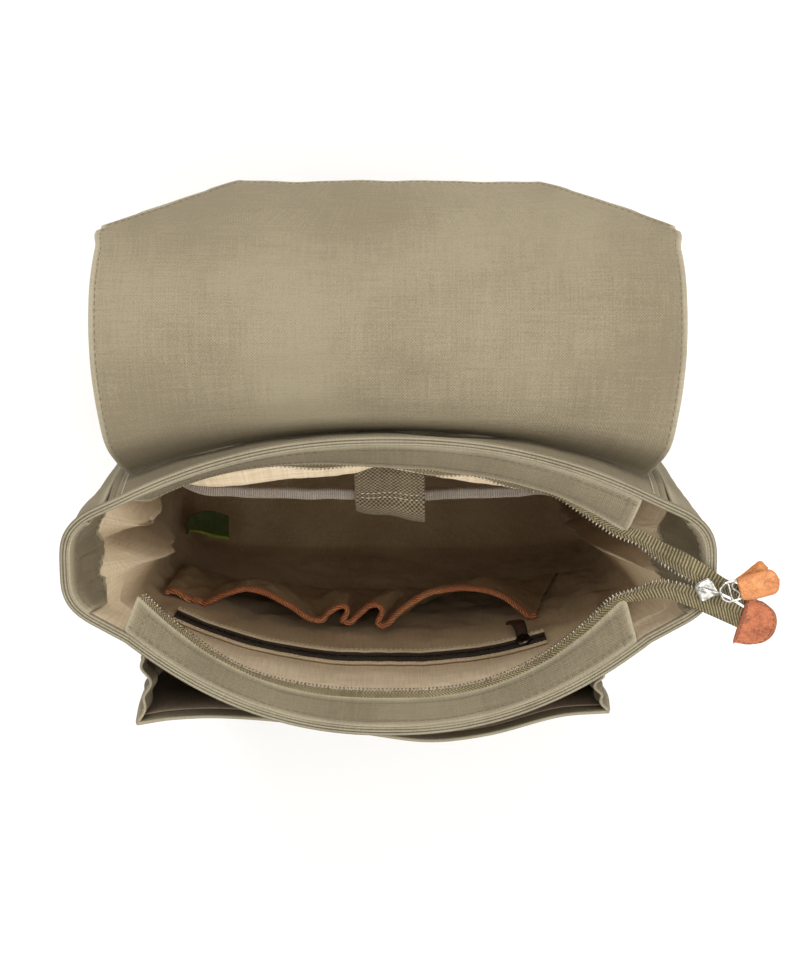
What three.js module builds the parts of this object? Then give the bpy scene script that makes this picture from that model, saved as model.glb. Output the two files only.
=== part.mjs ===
// An open canvas backpack: bowed body, thrown-back flap, zipped mouth with a free tail, lining, padded sleeve,
// organiser, inner zip, bellows pocket and back straps. Millimetres, +Z up, front towards -Y, floor at z = 0.
import * as THREE from "three";

// Body
const BODY_WIDTH = 302;
const BODY_DEPTH = 130;
const BODY_HEIGHT = 400;
const CANVAS = 2;
const BASE_THICKNESS = 2.5;
const LINING = 1.2;
const GAP = 0.3;
const LINING_GAP = 1.2;
const SEWN_GAP = 0.6;
const CORNER_CUT = 1;
const LINING_PUFF = 26;

// Rim, facings and zip bands
const RIM_HEIGHT = 3;
const RIM_OVERHANG = 0.8;
const RIM_INNER = 4.4;
const FACING = 1.2;
const FACING_GAP = 2;
const FACING_HEIGHT = 52;
const BAND = 1.6;
const MOUTH_WIDTH = 262;
const BAND_DROP = 16;

// Zip
const TAPE = 1;
const TAPE_SHOWN = 4.5;
const TEETH_WIDTH = 2.4;
const TEETH_HEIGHT = 1.8;
const TAIL_REACH = 66;
const TAIL_LIFT = 16;
const SLIDER_LENGTH = 10;
const SLIDER_WIDTH = 10.5;
const SLIDER_HEIGHT = 3.4;
const FRAME_LENGTH = 12.5;
const FRAME_WIDTH = 11;
const FRAME_WIRE = 1.4;
const FRAME_TURN = 0.55;
const PULL_LEATHER = 1.4;
const PULL_WIDTH = 10;
const PULL_LENGTH = 20;
const TAB_LENGTH = 19;
const TAB_WIDTH = 27;
const TAB_THICKNESS = 1.7;

// Laptop sleeve on the back wall
const SLEEVE_WIDTH = 248;
const SLEEVE_BELOW = 62;
const SLEEVE_PADDING = 4;
const SLEEVE_FORWARD = 7;
const SLEEVE_SAG = 8;
const BINDING = 5.5;
const BINDING_HEIGHT = 4;
const STRAP_WEB = 38;
const STRAP_WEB_THICKNESS = 2;
const STRAP_WEB_REACH = 51;
const STRAP_WEB_DROP = 54;

// Organiser and zip pocket on the front wall
const ORGANISER_WIDTH = 262;
const ORGANISER_LEFT = -144;
const ORGANISER_BELOW = 164;
const ORGANISER_DEPTH = 120;
const ORGANISER_CLOTH = 1.6;
const ORGANISER_PUFF = 25;
const ORGANISER_BINDING = 4;
const BINDING_CLOTH = 2;
const INNER_ZIP_LENGTH = 232;
const INNER_ZIP_LEFT = -134;
const INNER_ZIP_WIDTH = 9;
const INNER_ZIP_BELOW = 116;
const INNER_SLIDER = 8;
const INNER_PULL_LENGTH = 30;
const INNER_PULL_WIDTH = 8;
const LABEL_WIDTH = 42;
const LABEL_HEIGHT = 23;
const LABEL_FRONT = -0.62;
const LABEL_THICKNESS = 1;
const LABEL_RISE = 78;

// Flap
const FLAP_WIDTH = 326;
const FLAP_REACH = 134;
const FLAP_FALL = 66;
const FLAP_THICKNESS = 3;
const FLAP_BELOW = 44;

// Front pocket
const POCKET_WIDTH = 290;
const POCKET_SHIFT = -9;
const POCKET_BELOW = 26;
const POCKET_BOTTOM = 30;
const POCKET_DEPTH = 30;
const POCKET_CLOTH = 2;
const POCKET_FOLD = 9;

// Back straps
const HARNESS_WIDTH = 58;
const HARNESS_PADDING = 9;
const HARNESS_REACH = 36;
const HARNESS_BELOW = 84;
const HARNESS_BOTTOM = 112;
const WEBBING_WIDTH = 25;
const WEBBING = 1.8;
const WEBBING_FOOT = 30;
const BUCKLE_HEIGHT = 18;
const BUCKLE_WIDTH = 34;
const BUCKLE = 3;
const HANDLE_SPAN = 96;
const HANDLE_REACH = 24;
const HANDLE_BELOW = 54;
const HANDLE_WIDTH = 22;
const HANDLE = 3;

// Heights that hang from the rim
const SLEEVE_HEIGHT = BODY_HEIGHT - SLEEVE_BELOW;
const ORGANISER_TOP = BODY_HEIGHT - ORGANISER_BELOW;
const INNER_ZIP_RISE = BODY_HEIGHT - INNER_ZIP_BELOW;
const FLAP_SEAM = BODY_HEIGHT - FLAP_BELOW;
const POCKET_TOP = BODY_HEIGHT - POCKET_BELOW;
const HARNESS_TOP = BODY_HEIGHT - HARNESS_BELOW;
const HANDLE_TOP = BODY_HEIGHT - HANDLE_BELOW;

// The body's outline at each height: at, corner and the rest are shares of the height, half width and depth.
const BODY_SECTIONS = [
  { at: 0.0, corner: 0.93, front: -0.59, back: 0.4, bowFront: 0.05, bowBack: 0.03, bowSide: 0.05, power: 4 },
  { at: 0.04, corner: 0.965, front: -0.615, back: 0.415, bowFront: 0.07, bowBack: 0.04, bowSide: 0.07, power: 4 },
  { at: 0.12, corner: 0.985, front: -0.6, back: 0.41, bowFront: 0.11, bowBack: 0.06, bowSide: 0.09, power: 3.2 },
  { at: 0.35, corner: 1.005, front: -0.53, back: 0.4, bowFront: 0.19, bowBack: 0.1, bowSide: 0.13, power: 2.6 },
  { at: 0.65, corner: 1.013, front: -0.44, back: 0.37, bowFront: 0.28, bowBack: 0.14, bowSide: 0.16, power: 2.3 },
  { at: 0.88, corner: 1.013, front: -0.34, back: 0.325, bowFront: 0.37, bowBack: 0.21, bowSide: 0.2, power: 2.2 },
  { at: 1.0, corner: 1.0, front: -0.277, back: 0.3, bowFront: 0.45, bowBack: 0.273, bowSide: 0.223, power: 2.2 },
];
const LEVELS = [0, 0.04, 0.12, 0.3, 0.5, 0.7, 0.86, 0.93, 1];
const FACING_LEVELS = [0, 0.33, 0.67, 1];
const LINING_LEVELS = [0, 0.04, 0.12, 0.3, 0.5, 0.65, 0.75, 0.83, 0.88, 0.91, 0.95, 1];
const WIDE_CELLS = 14;
const SIDE_CELLS = 8;

// How strongly the lining of each side puffs inward, by height share.
const PUFF_BY_HEIGHT = [
  { at: 0.0, left: 0.0, right: 0.0 },
  { at: 0.15, left: 0.1, right: 0.3 },
  { at: 0.35, left: 0.25, right: 0.5 },
  { at: 0.55, left: 0.6, right: 0.85 },
  { at: 0.74, left: 1.0, right: 1.0 },
  { at: 0.87, left: 0.22, right: 0.25 },
  { at: 0.94, left: 0.05, right: 0.05 },
  { at: 1.0, left: 0.0, right: 0.0 },
];

// The zip's line along each band: ends and bow as shares of the body's depth.
const ZIP_LINES = {
  front: { left: -0.13, right: -0.13, bow: -0.47, power: 2.5 },
  back: { left: 0.29, right: 0.155, bow: 0.2, power: 3 },
};

// The free tail of the zip: x is a share of its reach, y of the body's depth, lift of the tail's lift.
const TAIL_ROWS = [
  { at: 0.0, frontTeeth: -0.13, frontEdge: -0.17, backTeeth: 0.155, backEdge: 0.2, lift: 0.35 },
  { at: 0.26, frontTeeth: -0.043, frontEdge: -0.11, backTeeth: 0.05, backEdge: 0.15, lift: 0.9 },
  { at: 0.52, frontTeeth: -0.065, frontEdge: -0.146, backTeeth: -0.03, backEdge: 0.092, lift: 1 },
  { at: 0.7, frontTeeth: -0.09, frontEdge: -0.185, backTeeth: -0.07, backEdge: 0.03, lift: 1 },
  { at: 0.85, frontTeeth: -0.12, frontEdge: -0.22, backTeeth: -0.1, backEdge: -0.03, lift: 1 },
  { at: 1.0, frontTeeth: -0.168, frontEdge: -0.255, backTeeth: -0.148, backEdge: -0.07, lift: 1 },
];

// The flap from its seam outwards: out is a share of its reach, up of its fall, half of its half width.
const FLAP_ROWS = [
  { at: 0.0, out: 0.0, up: 0.0, half: 0.86, free: 0 },
  { at: 0.08, out: 0.05, up: 0.14, half: 0.925, free: 0.45 },
  { at: 0.16, out: 0.13, up: 0.26, half: 0.967, free: 0.8 },
  { at: 0.27, out: 0.25, up: 0.36, half: 0.99, free: 1 },
  { at: 0.39, out: 0.39, up: 0.4, half: 1.0, free: 1 },
  { at: 0.5, out: 0.53, up: 0.35, half: 1.0, free: 1 },
  { at: 0.61, out: 0.65, up: 0.19, half: 1.0, free: 1 },
  { at: 0.71, out: 0.75, up: -0.03, half: 0.995, free: 1 },
  { at: 0.8, out: 0.83, up: -0.28, half: 0.985, free: 1 },
  { at: 0.9, out: 0.92, up: -0.6, half: 0.76, free: 1 },
  { at: 1.0, out: 1.0, up: -0.98, half: 0.535, free: 1 },
];

// The pocket from its rim down: out is a share of its depth, half of its half width, free how straight it runs.
const POCKET_ROWS = [
  { at: 0.0, out: 0.3, half: 0.93, free: 0.9 },
  { at: 0.12, out: 0.45, half: 0.95, free: 0.9 },
  { at: 0.35, out: 0.6, half: 0.96, free: 0.85 },
  { at: 0.6, out: 0.6, half: 0.97, free: 0.7 },
  { at: 0.82, out: 0.5, half: 0.97, free: 0.5 },
  { at: 0.94, out: 0.3, half: 0.95, free: 0.25 },
  { at: 1.0, out: 0.0, half: 0.93, free: 0 },
];

// A shoulder strap from its top: out is a share of its reach, x of the half width.
const HARNESS_ROWS = [
  { at: 0.0, out: 0.0, x: 0.28 },
  { at: 0.1, out: 0.42, x: 0.29 },
  { at: 0.25, out: 0.85, x: 0.32 },
  { at: 0.45, out: 1.0, x: 0.38 },
  { at: 0.65, out: 0.8, x: 0.46 },
  { at: 0.85, out: 0.3, x: 0.56 },
  { at: 1.0, out: 0.0, x: 0.62 },
];

// The strap over the sleeve: out is a share of its reach from the wall, up of its drop above the binding.
const STRAP_WEB_ROWS = [
  { out: 0.0, up: 0.34 },
  { out: 0.2, up: 0.36 },
  { out: 0.41, up: 0.27 },
  { out: 0.65, up: 0.12 },
  { out: 0.84, up: 0.06 },
  { out: 0.96, up: -0.12 },
  { out: 1.0, up: -0.38 },
  { out: 1.0, up: -0.62 },
];

// The pockets along the organiser: share of its width where each ends, and how far it puffs.
const ORGANISER_POCKETS = [
  { to: 0.09, puff: 0.6 },
  { to: 0.37, puff: 1.0 },
  { to: 0.46, puff: 0.5 },
  { to: 0.55, puff: 0.5 },
  { to: 1.0, puff: 1.0 },
];

const lerp = THREE.MathUtils.lerp;
const point = (x, y, z) => new THREE.Vector3(x, y, z);
const steps = (cells) => Array.from({ length: cells + 1 }, (_, i) => i / cells);

// A column of a table at a share, joined smoothly between its rows.
function tableValue(rows, column, at) {
  const last = rows.length - 1;
  let i = 0;
  while (i < last - 1 && rows[i + 1].at <= at) {
    i += 1;
  }
  const a = rows[i];
  const b = rows[i + 1];
  const before = rows[Math.max(i - 1, 0)];
  const after = rows[Math.min(i + 2, last)];
  const span = b.at - a.at;
  const t = THREE.MathUtils.clamp((at - a.at) / span, 0, 1);
  const slopeA = ((b[column] - before[column]) / (b.at - before.at)) * span;
  const slopeB = ((after[column] - a[column]) / (after.at - a.at)) * span;
  const t2 = t * t;
  const t3 = t2 * t;
  const curve = (2 * t3 - 3 * t2 + 1) * a[column] + (t3 - 2 * t2 + t) * slopeA;
  return curve + (3 * t2 - 2 * t3) * b[column] + (t3 - t2) * slopeB;
}

// One side of the body at a height share: its middle, half length, direction, outward direction and bow.
function wallLine(side, share) {
  const corner = (tableValue(BODY_SECTIONS, "corner", share) * BODY_WIDTH) / 2;
  const front = tableValue(BODY_SECTIONS, "front", share) * BODY_DEPTH;
  const back = tableValue(BODY_SECTIONS, "back", share) * BODY_DEPTH;
  const power = tableValue(BODY_SECTIONS, "power", share);
  const middle = (front + back) / 2;
  const half = (back - front) / 2;
  const bow = (column) => tableValue(BODY_SECTIONS, column, share) * BODY_DEPTH;
  const lines = {
    front: { at: [0, front], half: corner, along: [1, 0], out: [0, -1], bow: bow("bowFront"), power },
    back: { at: [0, back], half: corner, along: [1, 0], out: [0, 1], bow: bow("bowBack"), power },
    left: { at: [-corner, middle], half, along: [0, 1], out: [-1, 0], bow: bow("bowSide"), power },
    right: { at: [corner, middle], half, along: [0, 1], out: [1, 0], bow: bow("bowSide"), power },
  };
  return lines[side];
}

// A point of a side at s from -1 to 1, moved inward by the inset and held a margin away from both corners.
function wallPoint(side, s, share, inset = 0, margin = 0) {
  const line = wallLine(side, share);
  const t = s * (1 - margin / line.half);
  const size = Math.abs(t);
  const outward = line.bow * (1 - size ** line.power);
  const slope = line.bow * line.power * size ** (line.power - 1) * Math.sign(t);
  const normal = [0, 1].map((k) => line.out[k] * line.half + line.along[k] * slope);
  const length = Math.hypot(...normal);
  const at = [0, 1].map(
    (k) => line.at[k] + line.along[k] * line.half * t + line.out[k] * outward - (normal[k] / length) * inset,
  );
  return point(at[0], at[1], share * BODY_HEIGHT);
}

// The same point found by its x, on the front or back wall.
function wallAt(side, x, z, inset = 0) {
  const share = z / BODY_HEIGHT;
  return wallPoint(side, x / wallLine(side, share).half, share, inset);
}

// How far the side lining puffs inward: two lobes with a sharp crease between them.
function puff(side, s, share) {
  const sideways = side === "left" || side === "right";
  const lobes = Math.abs(Math.sin(Math.PI * s)) ** 1.2;
  return sideways ? LINING_PUFF * lobes * tableValue(PUFF_BY_HEIGHT, side, share) : 0;
}

function geometryOf(points, triangles) {
  const geometry = new THREE.BufferGeometry();
  geometry.setAttribute("position", new THREE.Float32BufferAttribute(points.flatMap((p) => [p.x, p.y, p.z]), 3));
  const sum = triangles.reduce((total, [a, b, c]) => {
    const cross = new THREE.Vector3().crossVectors(points[b], points[c]);
    return total + points[a].dot(cross);
  }, 0);
  const facing = sum < 0 ? triangles.map(([a, b, c]) => [a, c, b]) : triangles;
  geometry.setIndex(facing.flat());
  const shaded = geometry.toNonIndexed();
  shaded.computeVertexNormals();
  return shaded;
}

const quad = (a, b, c, d) => [
  [a, b, c],
  [a, c, d],
];

// A closed solid between two grids of the same size.
function sheet(outer, inner) {
  const rows = outer.length;
  const columns = outer[0].length;
  const points = [...outer.flat(), ...inner.flat()];
  const top = (i, j) => i * columns + j;
  const under = (i, j) => rows * columns + i * columns + j;
  const triangles = [];
  for (let i = 0; i < rows - 1; i += 1) {
    for (let j = 0; j < columns - 1; j += 1) {
      triangles.push(...quad(top(i, j), top(i + 1, j), top(i + 1, j + 1), top(i, j + 1)));
      triangles.push(...quad(under(i, j), under(i, j + 1), under(i + 1, j + 1), under(i + 1, j)));
    }
  }
  for (let i = 0; i < rows - 1; i += 1) {
    const end = columns - 1;
    triangles.push(...quad(top(i, 0), under(i, 0), under(i + 1, 0), top(i + 1, 0)));
    triangles.push(...quad(top(i, end), top(i + 1, end), under(i + 1, end), under(i, end)));
  }
  for (let j = 0; j < columns - 1; j += 1) {
    const end = rows - 1;
    triangles.push(...quad(top(0, j), top(0, j + 1), under(0, j + 1), under(0, j)));
    triangles.push(...quad(top(end, j), under(end, j), under(end, j + 1), top(end, j + 1)));
  }
  return geometryOf(points, triangles);
}

// The triangles between closed loops, from each to the next.
function loopTriangles(count, size, closed) {
  const triangles = [];
  const last = closed ? count : count - 1;
  for (let i = 0; i < last; i += 1) {
    const next = (i + 1) % count;
    for (let j = 0; j < size; j += 1) {
      const k = (j + 1) % size;
      triangles.push(...quad(i * size + j, next * size + j, next * size + k, i * size + k));
    }
  }
  return triangles;
}

// A ring whose cross-sections are closed loops.
function torus(loops) {
  return geometryOf(loops.flat(), loopTriangles(loops.length, loops[0].length, true));
}

// A body of closed rings, closed at both ends to the middle of its first and last ring.
function vessel(rings) {
  const size = rings[0].length;
  const middle = (ring) => ring.reduce((sum, p) => sum.add(p), point(0, 0, 0)).multiplyScalar(1 / size);
  const points = [...rings.flat(), middle(rings[0]), middle(rings[rings.length - 1])];
  const triangles = loopTriangles(rings.length, size, false);
  const start = points.length - 2;
  const end = points.length - 1;
  const last = (rings.length - 1) * size;
  for (let j = 0; j < size; j += 1) {
    const k = (j + 1) % size;
    triangles.push([start, j, k]);
    triangles.push([end, last + k, last + j]);
  }
  return geometryOf(points, triangles);
}

// A grid moved along its own normals by a thickness; side picks which way.
function offset(grid, thickness, side = 1) {
  const rows = grid.length;
  const columns = grid[0].length;
  return grid.map((row, i) =>
    row.map((p, j) => {
      const u = grid[Math.min(i + 1, rows - 1)][j].clone().sub(grid[Math.max(i - 1, 0)][j]);
      const v = row[Math.min(j + 1, columns - 1)].clone().sub(row[Math.max(j - 1, 0)]);
      const normal = u.cross(v).normalize();
      return p.clone().addScaledVector(normal, side * thickness);
    }),
  );
}

function thickSheet(grid, thickness, side = 1) {
  return sheet(grid, offset(grid, thickness, side));
}

// Part of a body side as a sheet: from one height to another, at an inset. With the margin of a puffed layer that it
// follows, it puffs as that layer does.
function wallSheet({ side, cells, bottom, top, inset, thickness, margin = 0, levels = LEVELS, follows = 0 }) {
  const shares = levels.map((level) => lerp(bottom, top, level) / BODY_HEIGHT);
  const layer = (depth) =>
    shares.map((share) =>
      steps(cells).map((t) => {
        const s = lerp(-1, 1, t);
        const half = wallLine(side, share).half;
        const over = (s * (half - margin)) / (half - follows);
        return wallPoint(side, s, share, depth + (follows ? puff(side, over, share) : 0), margin);
      }),
    );
  return sheet(layer(inset), layer(inset + thickness));
}

// The body's whole outline at a height share, counter-clockwise, cut a little at the corners.
function bodyRing(share, inset, margin) {
  const side = (name, cells, reversed) => {
    const line = steps(cells).map((t) => {
      const s = reversed ? 1 - 2 * t : 2 * t - 1;
      return wallPoint(name, s, share, inset + puff(name, s, share), margin);
    });
    return line;
  };
  return [
    ...side("front", WIDE_CELLS, false),
    ...side("right", SIDE_CELLS, false),
    ...side("back", WIDE_CELLS, true),
    ...side("left", SIDE_CELLS, true),
  ];
}

const raise = (ring, z) => ring.map((p) => point(p.x, p.y, z));

const liningInset = CANVAS + LINING_GAP;
const liningInner = liningInset + LINING;
const wallTop = BODY_HEIGHT - RIM_HEIGHT - GAP;
const wallBottom = BASE_THICKNESS + GAP;
const floorTop = BASE_THICKNESS + LINING_GAP + LINING;

const root = new THREE.Group();
root.name = "backpack";

const LOOKS = {
  canvas: { color: 0x8f8a6c, roughness: 0.95, metalness: 0 },
  tan: { color: 0xa88d62, roughness: 0.95, metalness: 0 },
  grey: { color: 0x8d8a80, roughness: 0.95, metalness: 0 },
  webbing: { color: 0x7a6b4f, roughness: 0.95, metalness: 0 },
  orange: { color: 0xb5602a, roughness: 0.9, metalness: 0 },
  leather: { color: 0xb4693a, roughness: 0.6, metalness: 0 },
  darkLeather: { color: 0x3a241b, roughness: 0.6, metalness: 0 },
  metal: { color: 0xb9b8b2, roughness: 0.35, metalness: 1 },
  dark: { color: 0x2d231c, roughness: 0.9, metalness: 0 },
  green: { color: 0x3f4a22, roughness: 0.9, metalness: 0 },
};

function add(name, look, geometry, parent = root) {
  const mesh = new THREE.Mesh(geometry, new THREE.MeshStandardMaterial(LOOKS[look]));
  mesh.name = name;
  parent.add(mesh);
  return mesh;
}

// Base, walls and lining
const baseRing = bodyRing(0, 0, CORNER_CUT);
add("base_panel", "canvas", vessel([raise(baseRing, 0), raise(baseRing, BASE_THICKNESS)]));

const wall = { bottom: wallBottom, top: wallTop, inset: 0, thickness: CANVAS };
add("front_panel", "canvas", wallSheet({ ...wall, side: "front", cells: WIDE_CELLS }));
add("back_panel", "canvas", wallSheet({ ...wall, side: "back", cells: WIDE_CELLS }));
const gusset = { ...wall, cells: SIDE_CELLS, margin: CANVAS + GAP };
add("left_gusset", "canvas", wallSheet({ ...gusset, side: "left" }));
add("right_gusset", "canvas", wallSheet({ ...gusset, side: "right" }));

const liningMargin = liningInner + CORNER_CUT;
const liningLevels = LINING_LEVELS.map((level) => lerp(floorTop, wallTop, level));
const liningLayer = (inset) =>
  liningLevels.map((z) => raise(bodyRing(z / BODY_HEIGHT, inset, liningMargin), z));
const liningFoot = raise(bodyRing(wallBottom / BODY_HEIGHT, liningInset, liningMargin), floorTop - LINING);
add("lining", "tan", vessel([liningFoot, ...liningLayer(liningInset), ...liningLayer(liningInner).reverse()]));

const facing = {
  cells: SIDE_CELLS,
  levels: FACING_LEVELS,
  bottom: wallTop - FACING_HEIGHT,
  top: wallTop,
  inset: liningInner + FACING_GAP,
  thickness: FACING,
  margin: liningMargin + FACING_GAP + FACING,
  follows: liningMargin,
};
add("left_facing", "canvas", wallSheet({ ...facing, side: "left" }));
add("right_facing", "canvas", wallSheet({ ...facing, side: "right" }));

// The turned rim, a flat tube all the way round
const rimProfile = [
  { inset: -RIM_OVERHANG, up: 0.25 },
  { inset: -RIM_OVERHANG, up: 0.75 },
  { inset: (RIM_INNER - RIM_OVERHANG) / 2, up: 1 },
  { inset: RIM_INNER, up: 0.75 },
  { inset: RIM_INNER, up: 0.25 },
  { inset: (RIM_INNER - RIM_OVERHANG) / 2, up: 0 },
];
const rimLoops = rimProfile.map(({ inset, up }) =>
  raise(bodyRing(1, inset, RIM_INNER + CORNER_CUT), BODY_HEIGHT - RIM_HEIGHT * (1 - up)),
);
const ringCount = rimLoops[0].length;
add("rim_welt", "canvas", torus(Array.from({ length: ringCount }, (_, i) => rimLoops.map((loop) => loop[i]))));

// Zip bands: from under the rim down to the zip line
const bandReach = 0.93;
function zipLine(side, s) {
  const line = ZIP_LINES[side];
  const y = lerp(line.left, line.right, (s + 1) / 2) + line.bow * (1 - Math.abs(s) ** line.power);
  const z = BODY_HEIGHT - BAND_DROP * (0.5 + 0.5 * (1 - s * s));
  return point((MOUTH_WIDTH / 2) * s, y * BODY_DEPTH, z);
}
function bandGrid(side) {
  return steps(WIDE_CELLS).map((t) => {
    const s = 2 * t - 1;
    const edge = wallPoint(side, s * bandReach, 1, RIM_INNER + GAP);
    edge.z = BODY_HEIGHT - RIM_HEIGHT / 2;
    const inner = zipLine(side, s);
    return steps(2).map((v) => edge.clone().lerp(inner, v));
  });
}
add("front_zip_band", "canvas", thickSheet(bandGrid("front"), BAND, 1));
add("back_zip_band", "canvas", thickSheet(bandGrid("back"), BAND, -1));

// Zip tapes: a strip along each band, then the free tail over the right rim
const mouthEnd = MOUTH_WIDTH / 2;
function tailPoint(at, column) {
  const x = mouthEnd + GAP + TAIL_REACH * at;
  const y = tableValue(TAIL_ROWS, column, at) * BODY_DEPTH;
  const z = BODY_HEIGHT - BAND_DROP / 2 + TAIL_LIFT * (tableValue(TAIL_ROWS, "lift", at) - 0.35);
  return point(x, y, z);
}
const inward = { front: 1, back: -1 };
function zipInward(side, s) {
  const step = 0.01;
  const along = zipLine(side, s + step).sub(zipLine(side, s - step));
  return point(-along.y, along.x, 0).normalize().multiplyScalar(inward[side]);
}
function tapeGrid(side, near, far, start = 0) {
  const along = steps(WIDE_CELLS).map((t) => {
    const s = 2 * t - 1;
    const base = zipLine(side, s);
    const away = zipInward(side, s);
    return [near, far].map((d) => base.clone().addScaledVector(away, d));
  });
  const tail = steps(8)
    .slice(start)
    .map((at) => {
      const teeth = tailPoint(at, side + "Teeth");
      const edge = tailPoint(at, side + "Edge");
      return { teeth, edge };
    });
  return { along, tail };
}
function tapeSheet(side) {
  const { along, tail } = tapeGrid(side, SEWN_GAP, SEWN_GAP + TAPE_SHOWN, 1);
  const grid = [...along, ...tail.map(({ teeth, edge }) => [edge, teeth])];
  return thickSheet(grid, TAPE, -inward[side]);
}
function teethSheet(side) {
  const near = SEWN_GAP + TAPE_SHOWN + GAP;
  const { along, tail } = tapeGrid(side, near, near + TEETH_WIDTH, 1);
  const rows = tail.slice(0, 2).map(({ teeth, edge }) => {
    const away = teeth.clone().sub(edge).normalize();
    return [GAP, GAP + TEETH_WIDTH].map((d) => teeth.clone().addScaledVector(away, d));
  });
  return thickSheet([...along, ...rows], TEETH_HEIGHT, -inward[side]);
}
add("front_zip_tape", "canvas", tapeSheet("front"));
add("back_zip_tape", "canvas", tapeSheet("back"));
add("front_zip_teeth", "metal", teethSheet("front"));
add("back_zip_teeth", "metal", teethSheet("back"));


// Slider, its wire frame, the leather pull through it and the leather tab on the tapes' end
function plate(outline, thickness, holes = []) {
  const shape = new THREE.Shape(outline.map(([x, y]) => new THREE.Vector2(x, y)));
  holes.forEach((hole) => shape.holes.push(new THREE.Path(hole.map(([x, y]) => new THREE.Vector2(x, y)))));
  return new THREE.ExtrudeGeometry(shape, { depth: thickness, bevelEnabled: false });
}
const rectangle = (x0, x1, y0, y1) => [
  [x0, y0],
  [x1, y0],
  [x1, y1],
  [x0, y1],
];
function roundedEnd(length, width, cells = 10) {
  return steps(cells).map((t) => {
    const angle = (t - 0.5) * Math.PI;
    return [Math.cos(angle) * length, (Math.sin(angle) * width) / 2];
  });
}

const sliderShare = 0.66;
const sliderSeat = tailPoint(sliderShare, "frontTeeth").lerp(tailPoint(sliderShare, "backTeeth"), 0.5);
const tailTurn = Math.atan2(-0.07 * BODY_DEPTH, 0.5 * TAIL_REACH);
const sliderGroup = new THREE.Group();
sliderGroup.position.set(sliderSeat.x, sliderSeat.y, sliderSeat.z + GAP);
sliderGroup.rotation.z = tailTurn;
root.add(sliderGroup);
const sliderOutline = [
  [-SLIDER_LENGTH / 2, -SLIDER_WIDTH * 0.42],
  [-SLIDER_LENGTH * 0.2, -SLIDER_WIDTH / 2],
  [SLIDER_LENGTH * 0.2, -SLIDER_WIDTH * 0.42],
  [SLIDER_LENGTH / 2, -SLIDER_WIDTH * 0.22],
  [SLIDER_LENGTH / 2, SLIDER_WIDTH * 0.22],
  [SLIDER_LENGTH * 0.2, SLIDER_WIDTH * 0.42],
  [-SLIDER_LENGTH * 0.2, SLIDER_WIDTH / 2],
  [-SLIDER_LENGTH / 2, SLIDER_WIDTH * 0.42],
];
add("zip_slider", "metal", plate(sliderOutline, SLIDER_HEIGHT), sliderGroup);

const frameGroup = new THREE.Group();
frameGroup.position.set(SLIDER_LENGTH / 2 + GAP + FRAME_WIRE, 0, PULL_LEATHER + GAP * 2);
frameGroup.rotation.z = FRAME_TURN;
sliderGroup.add(frameGroup);
const frameWindow = (from, to, inset) =>
  rectangle(from, to, -FRAME_WIDTH / 2 + inset, FRAME_WIDTH / 2 - inset).reverse();
const frameMiddle = FRAME_LENGTH * 0.45;
const frameOutline = [
  [0, -FRAME_WIDTH * 0.3],
  [FRAME_LENGTH * 0.25, -FRAME_WIDTH / 2],
  [FRAME_LENGTH, -FRAME_WIDTH / 2],
  [FRAME_LENGTH, FRAME_WIDTH / 2],
  [FRAME_LENGTH * 0.25, FRAME_WIDTH / 2],
  [0, FRAME_WIDTH * 0.3],
];
const frame = plate(frameOutline, FRAME_WIRE, [
  frameWindow(FRAME_WIRE, frameMiddle, FRAME_WIDTH * 0.24),
  frameWindow(frameMiddle + FRAME_WIRE, FRAME_LENGTH - FRAME_WIRE, FRAME_WIRE),
]);
add("zip_pull_frame", "metal", frame, frameGroup);

// The pull: a strip folded round the frame's far bar, seen from the side and then given its width
const barHalf = FRAME_WIRE / 2 + GAP;
const foldOut = barHalf + PULL_LEATHER;
const pullSide = [
  [PULL_LENGTH, -foldOut],
  [PULL_LENGTH, -barHalf],
  [-barHalf, -barHalf],
  [-barHalf, barHalf],
  [PULL_LENGTH * 0.5, barHalf + PULL_LEATHER * 0.6],
  [PULL_LENGTH * 0.95, barHalf + PULL_LEATHER * 2],
  [PULL_LENGTH * 0.92, foldOut + PULL_LEATHER * 2],
  [PULL_LENGTH * 0.48, foldOut + PULL_LEATHER * 0.6],
  [0, foldOut],
  [-foldOut, barHalf * 0.8],
  [-foldOut, -barHalf * 0.8],
  [0, -foldOut],
];
const pullWidth = Math.min(PULL_WIDTH, FRAME_WIDTH - 2 * FRAME_WIRE - 2 * GAP);
const pull = plate(pullSide, pullWidth);
pull.rotateX(Math.PI / 2);
const pullNode = add("zip_pull_leather", "leather", pull, frameGroup);
pullNode.position.set(FRAME_LENGTH - FRAME_WIRE / 2, pullWidth / 2, FRAME_WIRE / 2);

const tabSeat = tailPoint(1, "frontEdge").lerp(tailPoint(1, "backEdge"), 0.5);
const tab = add("zip_end_tab", "leather", plate(roundedEnd(TAB_LENGTH, TAB_WIDTH), TAB_THICKNESS));
tab.position.set(tabSeat.x - TAB_LENGTH * 0.14, tabSeat.y - TAB_WIDTH * 0.2, tabSeat.z + GAP);
tab.rotation.z = tailTurn * 0.5;

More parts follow.
